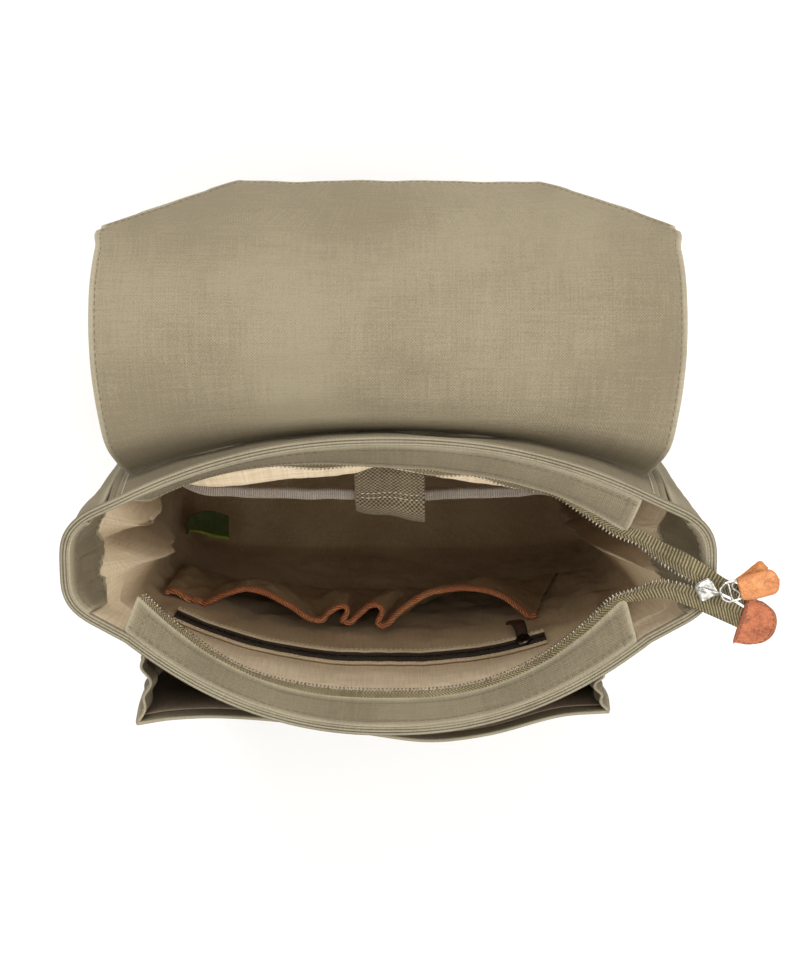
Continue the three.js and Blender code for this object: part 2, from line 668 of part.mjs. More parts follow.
// Laptop sleeve: a padded panel sewn to the back wall at both edges and open at the top
const sleeveSteps = [-1, -0.955, -0.87, -0.68, -0.34, 0, 0.34, 0.68, 0.87, 0.955, 1];
const lining = { inner: liningInner };
function sleevePoint(s, z) {
  const x = (s * SLEEVE_WIDTH) / 2;
  const behind = wallAt("back", x, z, lining.inner + SEWN_GAP).y;
  const corner = wallPoint("back", 1, z / BODY_HEIGHT).y;
  const flat = corner - SLEEVE_FORWARD - SLEEVE_SAG * (1 - s * s);
  return point(x, lerp(Math.min(flat, behind), behind, Math.abs(s) ** 24), z);
}
function sleeveSheet(bottom, top, thickness, shift, rows) {
  const layer = (depth) =>
    steps(rows).map((t) => sleeveSteps.map((s) => sleevePoint(s, lerp(bottom, top, t)).add(point(0, -depth, 0))));
  return sheet(layer(shift), layer(shift + thickness));
}
add("sleeve_panel", "tan", sleeveSheet(floorTop + GAP, SLEEVE_HEIGHT, SLEEVE_PADDING, 0, 4));
const bindingShift = (SLEEVE_PADDING - BINDING) / 2 + LINING;
const bindingBottom = SLEEVE_HEIGHT + GAP;
const bindingTop = bindingBottom + BINDING_HEIGHT;
add("sleeve_binding", "grey", sleeveSheet(bindingBottom, bindingTop, BINDING, bindingShift, 1));

const webStart = wallAt("back", 0, bindingTop + STRAP_WEB_DROP * 0.4, lining.inner + SEWN_GAP + GAP);
const webGrid = STRAP_WEB_ROWS.map(({ out, up }) =>
  [-0.5, 0.5].map((w) => {
    const lift = GAP + STRAP_WEB_DROP * up;
    return point(STRAP_WEB * w, webStart.y - STRAP_WEB_REACH * out, bindingTop + lift);
  }),
);
add("sleeve_strap", "webbing", thickSheet(webGrid, STRAP_WEB_THICKNESS, 1));

// Organiser: pockets and pen loops sewn to the front lining, puffed open at the top, with a bound edge
const frontLining = (x, z, away = 0) => {
  const at = wallAt("front", x, z, lining.inner + SEWN_GAP);
  return at.add(point(0, away, 0));
};
function pocketPuff(share) {
  let from = 0;
  for (const { to, puff: size } of ORGANISER_POCKETS) {
    if (share <= to) {
      return size * Math.max(Math.sin((Math.PI * (share - from)) / (to - from)), 0) ** 0.8;
    }
    from = to;
  }
  return 0;
}
const organiserSteps = ORGANISER_POCKETS.flatMap(({ to }, i) => {
  const from = i ? ORGANISER_POCKETS[i - 1].to : 0;
  const cells = to - from > 0.2 ? 6 : 4;
  return steps(cells)
    .slice(i ? 1 : 0)
    .map((t) => lerp(from, to, t));
});
function organiserGrid(bottom, top, rows, away) {
  return steps(rows).map((t) =>
    organiserSteps.map((share) => {
      const z = lerp(bottom, top, t);
      const height = THREE.MathUtils.clamp((z - ORGANISER_TOP + ORGANISER_DEPTH) / ORGANISER_DEPTH, 0, 1);
      const open = pocketPuff(share) * ORGANISER_PUFF * height ** 0.7;
      return frontLining(ORGANISER_LEFT + ORGANISER_WIDTH * share, z, open + away);
    }),
  );
}
function organiserSheet(bottom, top, rows, thickness, away) {
  return sheet(
    organiserGrid(bottom, top, rows, away),
    organiserGrid(bottom, top, rows, away + thickness),
  );
}
const organiserFoot = ORGANISER_TOP - ORGANISER_DEPTH;
add("organiser_panel", "tan", organiserSheet(organiserFoot, ORGANISER_TOP, 3, ORGANISER_CLOTH, 0));
const orangeBottom = ORGANISER_TOP + GAP;
const orangeTop = orangeBottom + ORGANISER_BINDING;
add("organiser_binding", "orange", organiserSheet(orangeBottom, orangeTop, 1, BINDING_CLOTH, GAP));

// Inner zip on the front lining, its slider and leather pull
const zipGrid = (away, columns = 10) =>
  [-0.5, 0.5].map((v) =>
    steps(columns).map((t) =>
      frontLining(INNER_ZIP_LEFT + INNER_ZIP_LENGTH * t, INNER_ZIP_RISE + INNER_ZIP_WIDTH * v, away),
    ),
  );
add("inner_zip", "dark", sheet(zipGrid(0), zipGrid(TAPE)));
const innerSliderX = INNER_ZIP_LEFT + INNER_ZIP_LENGTH * 0.94;
function seated(width, z0, z1, away, thickness) {
  const layer = (depth) =>
    [z0, z1].map((z) => [-0.5, 0.5].map((w) => frontLining(innerSliderX + width * w, z, depth)));
  return sheet(layer(away), layer(away + thickness));
}
const sliderAway = TAPE + SEWN_GAP;
const sliderLow = INNER_ZIP_RISE - INNER_SLIDER / 2;
const sliderHigh = INNER_ZIP_RISE + INNER_SLIDER / 2;
add("inner_zip_slider", "dark", seated(INNER_SLIDER, sliderLow, sliderHigh, sliderAway, 3));
const pullTop = sliderLow - GAP;
add("inner_zip_pull", "darkLeather", seated(INNER_PULL_WIDTH, pullTop - INNER_PULL_LENGTH, pullTop, sliderAway, 2));

// A bare label that stands off the left side lining
const labelShare = LABEL_RISE / BODY_HEIGHT;
const labelInset = lining.inner + SEWN_GAP + LABEL_HEIGHT * 0.08 + puff("left", -0.5, labelShare);
const labelAt = wallPoint("left", LABEL_FRONT, labelShare, labelInset);
const label = add("label", "green", new THREE.BoxGeometry(LABEL_WIDTH, LABEL_HEIGHT, LABEL_THICKNESS));
label.position.set(labelAt.x + LABEL_WIDTH * 0.5, labelAt.y, LABEL_RISE);
label.rotation.y = 0.12;

// Flap: sewn to the back panel, arching up and over, then falling behind the bag
function flapPoint(row, c) {
  const x = (c * row.half * FLAP_WIDTH) / 2;
  const z = FLAP_SEAM + FLAP_FALL * row.up;
  const seam = wallAt("back", THREE.MathUtils.clamp(x, -BODY_WIDTH / 2, BODY_WIDTH / 2), FLAP_SEAM);
  const middle = wallAt("back", 0, FLAP_SEAM);
  const y = lerp(seam.y, middle.y, row.free) + SEWN_GAP + FLAP_REACH * row.out;
  return point(x, y, z);
}
const flapGrid = FLAP_ROWS.map((row) => steps(10).map((t) => flapPoint(row, 2 * t - 1)));
add("flap", "canvas", thickSheet(flapGrid, FLAP_THICKNESS, 1));

// Front pocket: a bellows pocket on the front panel
function pocketPoint(row, s) {
  const z = lerp(POCKET_TOP, POCKET_BOTTOM, row.at);
  const x = POCKET_SHIFT + (s * row.half * POCKET_WIDTH) / 2;
  const behind = wallAt("front", x, z).y;
  const middle = wallAt("front", 0, z).y;
  const rounded = lerp(behind, middle, row.free);
  const open = POCKET_DEPTH * row.out * (1 - 0.5 * Math.abs(s) ** 4) + POCKET_CLOTH + SEWN_GAP;
  return point(x, Math.min(rounded, behind) - open, z);
}
const pocketGrid = POCKET_ROWS.map((row) => steps(10).map((t) => pocketPoint(row, 2 * t - 1)));
add("pocket_front", "canvas", thickSheet(pocketGrid, POCKET_CLOTH, -1));
function pocketSide(sign) {
  const grid = POCKET_ROWS.slice(0, -1).map((row) => {
    const corner = pocketPoint(row, sign);
    const inner = point(corner.x, corner.y + POCKET_CLOTH + GAP, corner.z);
    const seam = wallAt("front", inner.x * 1.02, inner.z, -SEWN_GAP);
    const fold = inner.clone().lerp(seam, 0.5).add(point(-sign * POCKET_FOLD, 0, 0));
    return [inner, fold, seam];
  });
  return thickSheet(grid, POCKET_CLOTH, sign);
}
add("pocket_gusset_left", "canvas", pocketSide(-1));
add("pocket_gusset_right", "canvas", pocketSide(1));

// Shoulder straps, their lower webbing and buckles, and the grab handle, finished plainly on the back
const backSurface = (x, z, out) => wallAt("back", x, z).add(point(0, out, 0));
function harness(sign) {
  const grid = HARNESS_ROWS.map((row) => {
    const z = lerp(HARNESS_TOP, HARNESS_BOTTOM, row.at);
    return steps(3).map((w) => {
      const x = sign * row.x * (BODY_WIDTH / 2) + HARNESS_WIDTH * (w - 0.5);
      return backSurface(x, z, SEWN_GAP + HARNESS_REACH * row.out);
    });
  });
  return thickSheet(grid, HARNESS_PADDING, -1);
}
function lowerWebbing(sign) {
  const foot = HARNESS_ROWS[HARNESS_ROWS.length - 1];
  const top = HARNESS_BOTTOM - WEBBING;
  const grid = steps(3).map((t) =>
    [-0.5, 0.5].map((w) => {
      const x = sign * lerp(foot.x, 0.84, t) * (BODY_WIDTH / 2) + WEBBING_WIDTH * w;
      return backSurface(x, lerp(top, WEBBING_FOOT, t), SEWN_GAP);
    }),
  );
  return thickSheet(grid, WEBBING, -1);
}
function buckle(sign) {
  const outline = rectangle(-BUCKLE_WIDTH / 2, BUCKLE_WIDTH / 2, -BUCKLE_HEIGHT / 2, BUCKLE_HEIGHT / 2);
  const slot = (y) => rectangle(-WEBBING_WIDTH / 2, WEBBING_WIDTH / 2, y - 2, y + 2).reverse();
  const geometry = plate(outline, BUCKLE, [slot(-BUCKLE_HEIGHT / 4), slot(BUCKLE_HEIGHT / 4)]);
  const name = sign < 0 ? "strap_buckle_left" : "strap_buckle_right";
  const mesh = add(name, "dark", geometry);
  const foot = HARNESS_ROWS[HARNESS_ROWS.length - 1];
  const z = HARNESS_BOTTOM - BUCKLE_HEIGHT / 2 - BUCKLE;
  const x = sign * (foot.x + 0.02) * (BODY_WIDTH / 2);
  const seat = backSurface(Math.abs(x) - BUCKLE_WIDTH / 2, z, SEWN_GAP + WEBBING + SEWN_GAP);
  mesh.position.set(x, seat.y + BUCKLE, z);
  mesh.rotation.x = Math.PI / 2;
}
add("shoulder_strap_left", "canvas", harness(-1));
add("shoulder_strap_right", "canvas", harness(1));
add("strap_webbing_left", "webbing", lowerWebbing(-1));
add("strap_webbing_right", "webbing", lowerWebbing(1));
buckle(-1);
buckle(1);

const handleGrid = steps(10).map((t) => {
  const s = 2 * t - 1;
  const out = SEWN_GAP + HANDLE_REACH * (1 - s * s) ** 1.2;
  return [HANDLE_TOP - HANDLE_WIDTH, HANDLE_TOP].map((z) => backSurface((HANDLE_SPAN / 2) * s, z, out));
});
add("grab_handle", "canvas", thickSheet(handleGrid, HANDLE, -1));

export default root;
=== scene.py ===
"""An open canvas backpack seen into its mouth, dressed in Blender over the CAD frame.

Metres, +Z up, the front towards -Y and the floor at z = 0. Every shape is a function of two parameters worked out on
a numpy grid, from the same sizes and tables of shares as the CAD part, and every finish is a node material.
"""

import logging
import math
from dataclasses import dataclass, field
from enum import Enum

import bmesh
import bpy
import numpy as np
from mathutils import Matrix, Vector

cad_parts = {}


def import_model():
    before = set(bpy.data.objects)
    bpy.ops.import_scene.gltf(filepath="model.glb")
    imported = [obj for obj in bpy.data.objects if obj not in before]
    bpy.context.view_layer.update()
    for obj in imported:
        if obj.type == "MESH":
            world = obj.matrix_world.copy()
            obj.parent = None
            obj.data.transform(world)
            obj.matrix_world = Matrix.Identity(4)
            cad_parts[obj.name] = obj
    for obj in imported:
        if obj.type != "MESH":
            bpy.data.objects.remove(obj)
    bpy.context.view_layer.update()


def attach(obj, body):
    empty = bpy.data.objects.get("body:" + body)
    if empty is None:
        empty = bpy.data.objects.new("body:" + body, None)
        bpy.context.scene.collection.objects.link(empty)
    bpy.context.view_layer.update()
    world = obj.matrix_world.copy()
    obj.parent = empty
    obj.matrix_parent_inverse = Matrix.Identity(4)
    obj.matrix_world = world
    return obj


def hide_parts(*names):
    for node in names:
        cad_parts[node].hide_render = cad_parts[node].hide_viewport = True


LOG = logging.getLogger("backpack")
Array = np.ndarray


# --------------------------------------------------------------------------------------------------------------
# Numbers and grids
# --------------------------------------------------------------------------------------------------------------


@dataclass(frozen=True)
class Table:
    """Named columns of shares at given places, joined by smooth cubics whose slopes come from the next rows."""

    at: tuple[float, ...]
    columns: dict[str, tuple[float, ...]]

    def value(self, column: str, at: Array | float) -> Array:
        """A column at any place.

        Args:
            column: the column's name.
            at: where to read it, on the same scale as the table's own places.

        Returns:
            The values, in the shape of `at`.
        """
        x, y = np.asarray(self.at), np.asarray(self.columns[column])
        at = np.asarray(at, float)
        i = np.clip(np.searchsorted(x, at, side="right") - 1, 0, len(x) - 2)
        before, after = np.maximum(i - 1, 0), np.minimum(i + 2, len(x) - 1)
        span = x[i + 1] - x[i]
        t = np.clip((at - x[i]) / span, 0, 1)
        slope_a = (y[i + 1] - y[before]) / (x[i + 1] - x[before]) * span
        slope_b = (y[after] - y[i]) / (x[after] - x[i]) * span
        start = (2 * t**3 - 3 * t**2 + 1) * y[i] + (t**3 - 2 * t**2 + t) * slope_a
        return start + (3 * t**2 - 2 * t**3) * y[i + 1] + (t**3 - t**2) * slope_b


def lerp(a: Array | float, b: Array | float, t: Array | float) -> Array:
    """The point a share t of the way from a to b."""
    return a + (b - a) * t


def smooth(edge0: float, edge1: float, x: Array) -> Array:
    """A ramp from 0 at edge0 to 1 at edge1 with flat ends."""
    t = np.clip((x - edge0) / (edge1 - edge0), 0, 1)
    return t * t * (3 - 2 * t)


def hump(x: Array, centre: float, width: float) -> Array:
    """A bell of height 1: e to minus the squared distance from the centre in widths."""
    return np.exp(-(((x - centre) / width) ** 2))


def stack(x: Array | float, y: Array | float, z: Array | float) -> Array:
    """Points from three coordinates, each broadcast to the same shape."""
    return np.stack(np.broadcast_arrays(x, y, z), -1).astype(float)


def ripple(u: Array, v: Array, size: float, seed: int, stretch: float = 1.0) -> Array:
    """Soft irregular waves between about -1 and 1: fourteen cosines added, each with its own direction and length.

    Args:
        u: the place along the cloth, in metres.
        v: the place across it.
        size: the usual length of a wave.
        seed: picks the directions, lengths and phases.
        stretch: how many times longer the waves are along v.

    Returns:
        The height at each place.
    """
    rng = np.random.default_rng(seed)
    angle = rng.uniform(0, math.tau, 14)
    wave = math.tau / (size * rng.uniform(0.6, 1.7, 14))
    phase = rng.uniform(0, math.tau, 14)
    along = np.asarray(u)[..., None] * (np.cos(angle) * wave)
    across = np.asarray(v)[..., None] / stretch * (np.sin(angle) * wave)
    return np.cos(along + across + phase).sum(-1) / 4.2


def graded(cells: int, crowd: float = 0.35) -> Array:
    """Shares from 0 to 1, closer together near both ends: t minus a share of sin(2 pi t) over 2 pi."""
    t = np.linspace(0, 1, cells + 1)
    return t - crowd * np.sin(math.tau * t) / math.tau


def normals(grid: Array) -> Array:
    """Unit normals of a grid: the cross product of its two directions."""
    across = np.cross(np.gradient(grid, axis=0), np.gradient(grid, axis=1))
    return across / np.maximum(np.linalg.norm(across, axis=-1, keepdims=True), 1e-12)


def facing(grid: Array, axis: int, row: float = 0.5, column: float = 0.5) -> int:
    """Whether a grid faces along an axis (1) or against it (-1), read at shares of its rows and columns."""
    rows, columns = grid.shape[:2]
    return 1 if normals(grid)[int(rows * row), int(columns * column), axis] > 0 else -1


def measure(grid: Array) -> Array:
    """A cloth's own flat map in metres: lengths added up along its middle column and its middle row."""
    rows, columns = grid.shape[:2]
    down = np.linalg.norm(np.diff(grid[:, columns // 2], axis=0), axis=-1)
    over = np.linalg.norm(np.diff(grid[rows // 2], axis=0), axis=-1)
    v = np.concatenate([[0], np.cumsum(down)])
    u = np.concatenate([[0], np.cumsum(over)])
    return np.stack(np.broadcast_arrays(u[None, :], v[:, None]), -1).astype(float)


def moved(grid: Array, distance: Array | float) -> Array:
    """A grid moved along its own normals."""
    return grid + normals(grid) * np.asarray(distance)[..., None]


# --------------------------------------------------------------------------------------------------------------
# Meshes
# --------------------------------------------------------------------------------------------------------------


@dataclass
class Patch:
    """One grid of a mesh, with its map in metres and how far, from 0 to 1, it turns to the paler colour: rubbing, and
    painted light on some pieces.
    """

    points: Array
    uv: Array
    wear_and_light: Array | float = 0.0


def border(grid: Array) -> Array:
    """A grid's outer points in order, closed by its first point again."""
    parts = [grid[0, :-1], grid[:-1, -1], grid[-1, :0:-1], grid[:0:-1, 0], grid[:1, 0]]
    return np.concatenate(parts)


def border_outward(grid: Array) -> Array:
    """Unit directions from a grid's outer points away from it, within its surface."""
    out = np.zeros_like(grid)
    out[0] += grid[0] - grid[1]
    out[-1] += grid[-1] - grid[-2]
    out[:, 0] += grid[:, 0] - grid[:, 1]
    out[:, -1] += grid[:, -1] - grid[:, -2]
    ring = border(out)
    return ring / np.maximum(np.linalg.norm(ring, axis=-1, keepdims=True), 1e-12)


def slab(top: Array, bottom: Array, bulge: float, worn: float = 0.003) -> list[Patch]:
    """A closed sheet between two grids, with a rounded edge.

    The edge swings from the top's border to the bottom's: middle + half difference x cos a + outward x bulge x sin a.

    Args:
        top: the grid of one face.
        bottom: the grid of the other, of the same size.
        bulge: how far the edge stands out.
        worn: how far in from the border the cloth is rubbed.

    Returns:
        The two faces and the edge.
    """
    uv = measure(top)
    low, high = uv[0, 0], uv[-1, -1]
    near = np.minimum((uv - low).min(-1), (high - uv).min(-1))
    wear_and_light = np.exp(-((near / worn) ** 2)) if worn else np.zeros(near.shape)
    over, under, out = border(top), border(bottom), border_outward(top)
    angle = np.linspace(0, math.pi, 5)[:, None, None]
    edge = (over + under) / 2 + (over - under) / 2 * np.cos(angle) + out * bulge * np.sin(angle)
    spread = np.broadcast_to(border(uv), (5, *over.shape[:1], 2))
    return [Patch(top, uv, wear_and_light), Patch(bottom, uv, wear_and_light), Patch(edge, spread, float(worn > 0))]


def thick(grid: Array, thickness: float, worn: float = 0.003) -> list[Patch]:
    """A sheet whose thickness goes against the grid's normals; a negative one goes along them."""
    return slab(grid, moved(grid, -thickness), abs(thickness) / 2, worn)


def sweep(path: Array, up: Array, profile: Array) -> Array:
    """A profile carried along a path: path + sideways x profile's first value + up x its second.

    Args:
        path: points along the middle, in rows.
        up: a direction at each of them.
        profile: pairs of sideways and upward distances, one list for all rows or one for each.

    Returns:
        The grid, a row for each point of the path.
    """
    along = np.gradient(path, axis=0)
    along /= np.maximum(np.linalg.norm(along, axis=-1, keepdims=True), 1e-12)
    side = np.cross(along, np.broadcast_to(up, path.shape))
    side /= np.maximum(np.linalg.norm(side, axis=-1, keepdims=True), 1e-12)
    lift = np.cross(side, along)
    profile = np.broadcast_to(profile, (len(path), *np.shape(profile)[-2:]))
    return path[:, None] + side[:, None] * profile[..., :1] + lift[:, None] * profile[..., 1:]


def circle(width: float, height: float, cells: int = 12, square: float = 2.0) -> Array:
    """A closed oval profile, squarer for a higher power: sign(cos) x |cos|^(2 / square), and the same with sin."""
    angle = np.linspace(0, math.tau, cells + 1)
    x, y = np.cos(angle), np.sin(angle)
    power = 2 / square
    return np.stack([np.sign(x) * np.abs(x) ** power * width / 2, np.sign(y) * np.abs(y) ** power * height / 2], -1)


def capped(tube: Array) -> list[Patch]:
    """A tube with both ends drawn in to their middles by three shrinking rings."""
    uv = measure(tube)
    patches = [Patch(tube, uv)]
    for row, ahead in ((0, 1), (-1, -2)):
        middle = tube[row, :-1].mean(0)
        out = tube[row, :-1].mean(0) - tube[ahead, :-1].mean(0)
        out /= max(np.linalg.norm(out), 1e-12)
        reach = np.linalg.norm(tube[row] - middle, axis=-1).min() * 0.35
        angle = np.linspace(0, math.pi / 2, 4)[:, None, None]
        cap = middle + (tube[row] - middle) * np.cos(angle) + out * reach * np.sin(angle)
        patches.append(Patch(cap, np.broadcast_to(uv[row], (4, *uv[row].shape))))
    return patches


def make(name: str, patches: list[Patch]) -> bpy.types.Object:
    """A smooth closed mesh from its patches, whose touching borders are merged.

    Args:
        name: the piece's name.
        patches: its grids.

    Returns:
        The object, at the origin, with its map in "cloth" and, in a point attribute, its share of rubbing and painted
        light.
    """
    places, faces, maps, wears, start = [], [], [], [], 0
    for patch in patches:
        rows, columns = patch.points.shape[:2]
        index = np.arange(rows * columns).reshape(rows, columns) + start
        quads = np.stack([index[:-1, :-1], index[1:, :-1], index[1:, 1:], index[:-1, 1:]], -1)
        places.append(patch.points.reshape(-1, 3))
        maps.append(np.broadcast_to(patch.uv, (rows, columns, 2)).reshape(-1, 2))
        wears.append(np.broadcast_to(patch.wear_and_light, (rows, columns)).reshape(-1))
        faces.append(quads.reshape(-1, 4))
        start += rows * columns
    return weld(raw(name, np.concatenate(places), np.concatenate(faces), np.concatenate(maps), np.concatenate(wears)))


def raw(name: str, places: Array, quads: Array, uv: Array, wear_and_light: Array) -> bpy.types.Object:
    """A mesh object straight from arrays, its faces of four corners each."""
    mesh = bpy.data.meshes.new(name)
    mesh.vertices.add(len(places))
    mesh.vertices.foreach_set("co", places.astype(np.float32).ravel())
    mesh.loops.add(quads.size)
    mesh.loops.foreach_set("vertex_index", quads.astype(np.int32).ravel())
    mesh.polygons.add(len(quads))
    mesh.polygons.foreach_set("loop_start", np.arange(0, quads.size, quads.shape[1], dtype=np.int32))
    mesh.update(calc_edges=True)
    layer = mesh.uv_layers.new(name="cloth")
    layer.data.foreach_set("uv", uv[quads.ravel()].astype(np.float32).ravel())
    attribute = mesh.attributes.new("wear_and_light", "FLOAT", "POINT")
    attribute.data.foreach_set("value", wear_and_light.astype(np.float32))
    mesh.polygons.foreach_set("use_smooth", np.ones(len(quads), dtype=bool))
    mesh.validate()
    obj = bpy.data.objects.new(name, mesh)
    bpy.context.scene.collection.objects.link(obj)
    return obj


def weld(obj: bpy.types.Object) -> bpy.types.Object:
    """Merges a mesh's coincident points, drops its flat faces and turns its normals outwards."""
    shape = bmesh.new()
    shape.from_mesh(obj.data)
    bmesh.ops.remove_doubles(shape, verts=shape.verts, dist=2e-6)
    bmesh.ops.dissolve_degenerate(shape, edges=shape.edges, dist=1e-7)
    bmesh.ops.recalc_face_normals(shape, faces=shape.faces)
    shape.to_mesh(obj.data)
    shape.free()
    return obj


def resample(path: Array, pitch: float) -> tuple[Array, Array, Array]:
    """Evenly spaced places along a path: shares of its index, the points and their directions."""
    steps = np.linalg.norm(np.diff(path, axis=0), axis=-1)
    length = np.concatenate([[0], np.cumsum(steps)])
    count = max(int(length[-1] / pitch), 1)
    at = (np.arange(count) + 0.5) * length[-1] / count
    share = np.interp(at, length, np.arange(len(path)))
    point = np.stack([np.interp(share, np.arange(len(path)), path[:, k]) for k in range(3)], -1)
    slope = np.gradient(path, length, axis=0)
    along = np.stack([np.interp(share, np.arange(len(path)), slope[:, k]) for k in range(3)], -1)
    return share, point, along / np.maximum(np.linalg.norm(along, axis=-1, keepdims=True), 1e-12)


def beads(
    point: Array, along: Array, up: Array, length: float, width: float, height: float
) -> tuple[Array, Array, Array]:
    """Many small rounded bars: 20 corners each, on two poles and three rings of six.

    Args:
        point: their middles.
        along: their directions.
        up: the direction that their height goes, at each.
        length: their length.
        width: how wide each is.
        height: how high each is.

    Returns:
        The corners, the faces and the corners' map.
    """
    side = np.cross(along, up)
    side /= np.maximum(np.linalg.norm(side, axis=-1, keepdims=True), 1e-12)
    up = np.cross(side, along)
    angle = np.arange(6) / 6 * math.tau
    rings = [(-0.34, 0.82), (0.0, 1.0), (0.34, 0.82)]
    corner = [(-0.5, 0.0, 0.0)]
    for reach, size in rings:
        corner += [(reach, math.cos(a) * size / 2, math.sin(a) * size / 2) for a in angle]
    corner.append((0.5, 0.0, 0.0))
    form = np.array(corner) * [length, width, height]
    places = point[:, None] + along[:, None] * form[:, :1] + side[:, None] * form[:, 1:2] + up[:, None] * form[:, 2:]
    quads = []
    for j in range(6):
        k = (j + 1) % 6
        quads += [(0, 1 + k, 1 + j, 1 + j), (19, 13 + j, 13 + k, 13 + k)]
        quads += [(r + j, r + k, r + 6 + k, r + 6 + j) for r in (1, 7)]
    faces = (np.array(quads)[None] + np.arange(len(point))[:, None, None] * 20).reshape(-1, 4)
    turn = np.concatenate([[0], np.tile(angle / math.tau * width * 3, 3), [0]])
    uv = np.broadcast_to(np.stack([form[:, 0], turn], -1), (len(point), 20, 2))
    return places.reshape(-1, 3), faces, uv.reshape(-1, 2)


@dataclass
class Seam:
    """A line of stitches on cloth."""

    path: Array
    up: Array
    pitch: float = 0.0042
    length: float = 0.0030
    width: float = 0.0007


def sew(name: str, seams: list[Seam], height: float = 0.0006) -> bpy.types.Object:
    """One object of all the stitches of some seams, each sunk a little at its ends by its rounded form."""
    places, faces, maps, start = [], [], [], 0
    for seam in seams:
        share, point, along = resample(seam.path, seam.pitch)
        index = np.arange(len(seam.path))
        up = np.broadcast_to(seam.up, seam.path.shape)
        up = np.stack([np.interp(share, index, up[:, k]) for k in range(3)], -1)
        corner, quad, uv = beads(point, along, up, seam.length, seam.width, height)
        places.append(corner)
        faces.append(quad + start)
        maps.append(uv)
        start += len(corner)
    corners, quads = np.concatenate(places), np.concatenate(faces)
    return triangled(name, corners, quads, np.concatenate(maps))


def triangled(name: str, corners: Array, quads: Array, uv: Array) -> bpy.types.Object:
    """A mesh of small bodies, each face cut in triangles, with those of no size left out."""
    tris = np.concatenate([quads[:, [0, 1, 2]], quads[:, [0, 2, 3]]])
    real = (tris[:, 0] != tris[:, 1]) & (tris[:, 1] != tris[:, 2]) & (tris[:, 0] != tris[:, 2])
    return raw(name, corners, tris[real], uv, np.zeros(len(corners)))


# --------------------------------------------------------------------------------------------------------------
# Finishes
# --------------------------------------------------------------------------------------------------------------


def linear(code: str) -> tuple[float, float, float, float]:
    """An sRGB hex colour as linear light, by the sRGB curve."""
    share = [int(code[i : i + 2], 16) / 255 for i in (1, 3, 5)]
    light = [c / 12.92 if c <= 0.04045 else ((c + 0.055) / 1.055) ** 2.4 for c in share]
    return (light[0], light[1], light[2], 1.0)


Link = bpy.types.Node | bpy.types.NodeSocket | float | tuple


@dataclass
class Graph:
    """A material's node tree while it is being drawn up."""

    name: str
    material: bpy.types.Material = field(init=False)
    shader: bpy.types.Node = field(init=False)

    def __post_init__(self) -> None:
        """Starts the material with a bare surface shader."""
        self.material = bpy.data.materials.new(self.name)
        self.material.use_nodes = True
        self.material.node_tree.nodes.clear()
        self.shader = self.add("ShaderNodeBsdfPrincipled")
        self.add("ShaderNodeOutputMaterial", inputs={"Surface": self.shader})

    def add(self, kind: str, settings: dict | None = None, inputs: dict | None = None) -> bpy.types.Node:
        """Adds a node.

        Args:
            kind: Blender's name for it.
            settings: its properties.
            inputs: numbers or colours for its sockets, or the nodes or sockets linked to them, by name or place.

        Returns:
            The node.
        """
        node = self.material.node_tree.nodes.new(kind)
        for key, value in (settings or {}).items():
            setattr(node, key, value)
        for key, value in (inputs or {}).items():
            self.feed(node.inputs[key], value)
        return node

    def feed(self, socket: bpy.types.NodeSocket, value: Link) -> None:
        """Links a socket to a node's first output or to a socket, or sets its number."""
        if isinstance(value, bpy.types.Node):
            value = value.outputs[0]
        if isinstance(value, bpy.types.NodeSocket):
            self.material.node_tree.links.new(value, socket)
        else:
            socket.default_value = value

    def here(self) -> bpy.types.NodeSocket:
        """The place on the object, in metres."""
        return self.add("ShaderNodeTexCoord").outputs["Object"]

    def math(self, operation: str, *values: Link, clamp: bool = False) -> bpy.types.Node:
        """One step of arithmetic on numbers or sockets."""
        return self.add("ShaderNodeMath", {"operation": operation, "use_clamp": clamp}, dict(enumerate(values)))

    def noise(self, at: Link, scale: Link, detail: float) -> bpy.types.Node:
        """Soft noise at a place, with so many features to the metre."""
        return self.add("ShaderNodeTexNoise", {}, {"Vector": at, "Scale": scale, "Detail": detail})

    def span(self, value: Link, low: float, high: float, start: float = 0.0, end: float = 1.0) -> bpy.types.Node:
        """A value carried in a straight line from one range to another."""
        return self.add("ShaderNodeMapRange", {}, dict(enumerate((value, low, high, start, end))))

    def mix(self, share: Link, first: Link, second: Link) -> bpy.types.NodeSocket:
        """A blend of two colours."""
        return self.add("ShaderNodeMix", {"data_type": "RGBA"}, {0: share, 6: first, 7: second}).outputs[2]

    def finish(self, colour: Link, roughness: Link, bump: Link, relief: float, **sockets: float | tuple) -> None:
        """Links the surface: its colour, roughness and relief, and plain numbers on the shader's own sockets."""
        height = self.add("ShaderNodeBump", {}, {"Strength": 1.0, "Distance": relief, "Height": bump})
        self.feed(self.shader.inputs["Base Color"], colour)
        self.feed(self.shader.inputs["Roughness"], roughness)
        self.feed(self.shader.inputs["Normal"], height)
        for key, value in sockets.items():
            self.shader.inputs[key.replace("_", " ")].default_value = value


class Weave(Enum):
    """How threads cross: one over one, slanted ribs, coarse pairs, or ribs that turn back and forth."""

    PLAIN = "plain"
    TWILL = "twill"
    BASKET = "basket"
    HERRINGBONE = "herringbone"


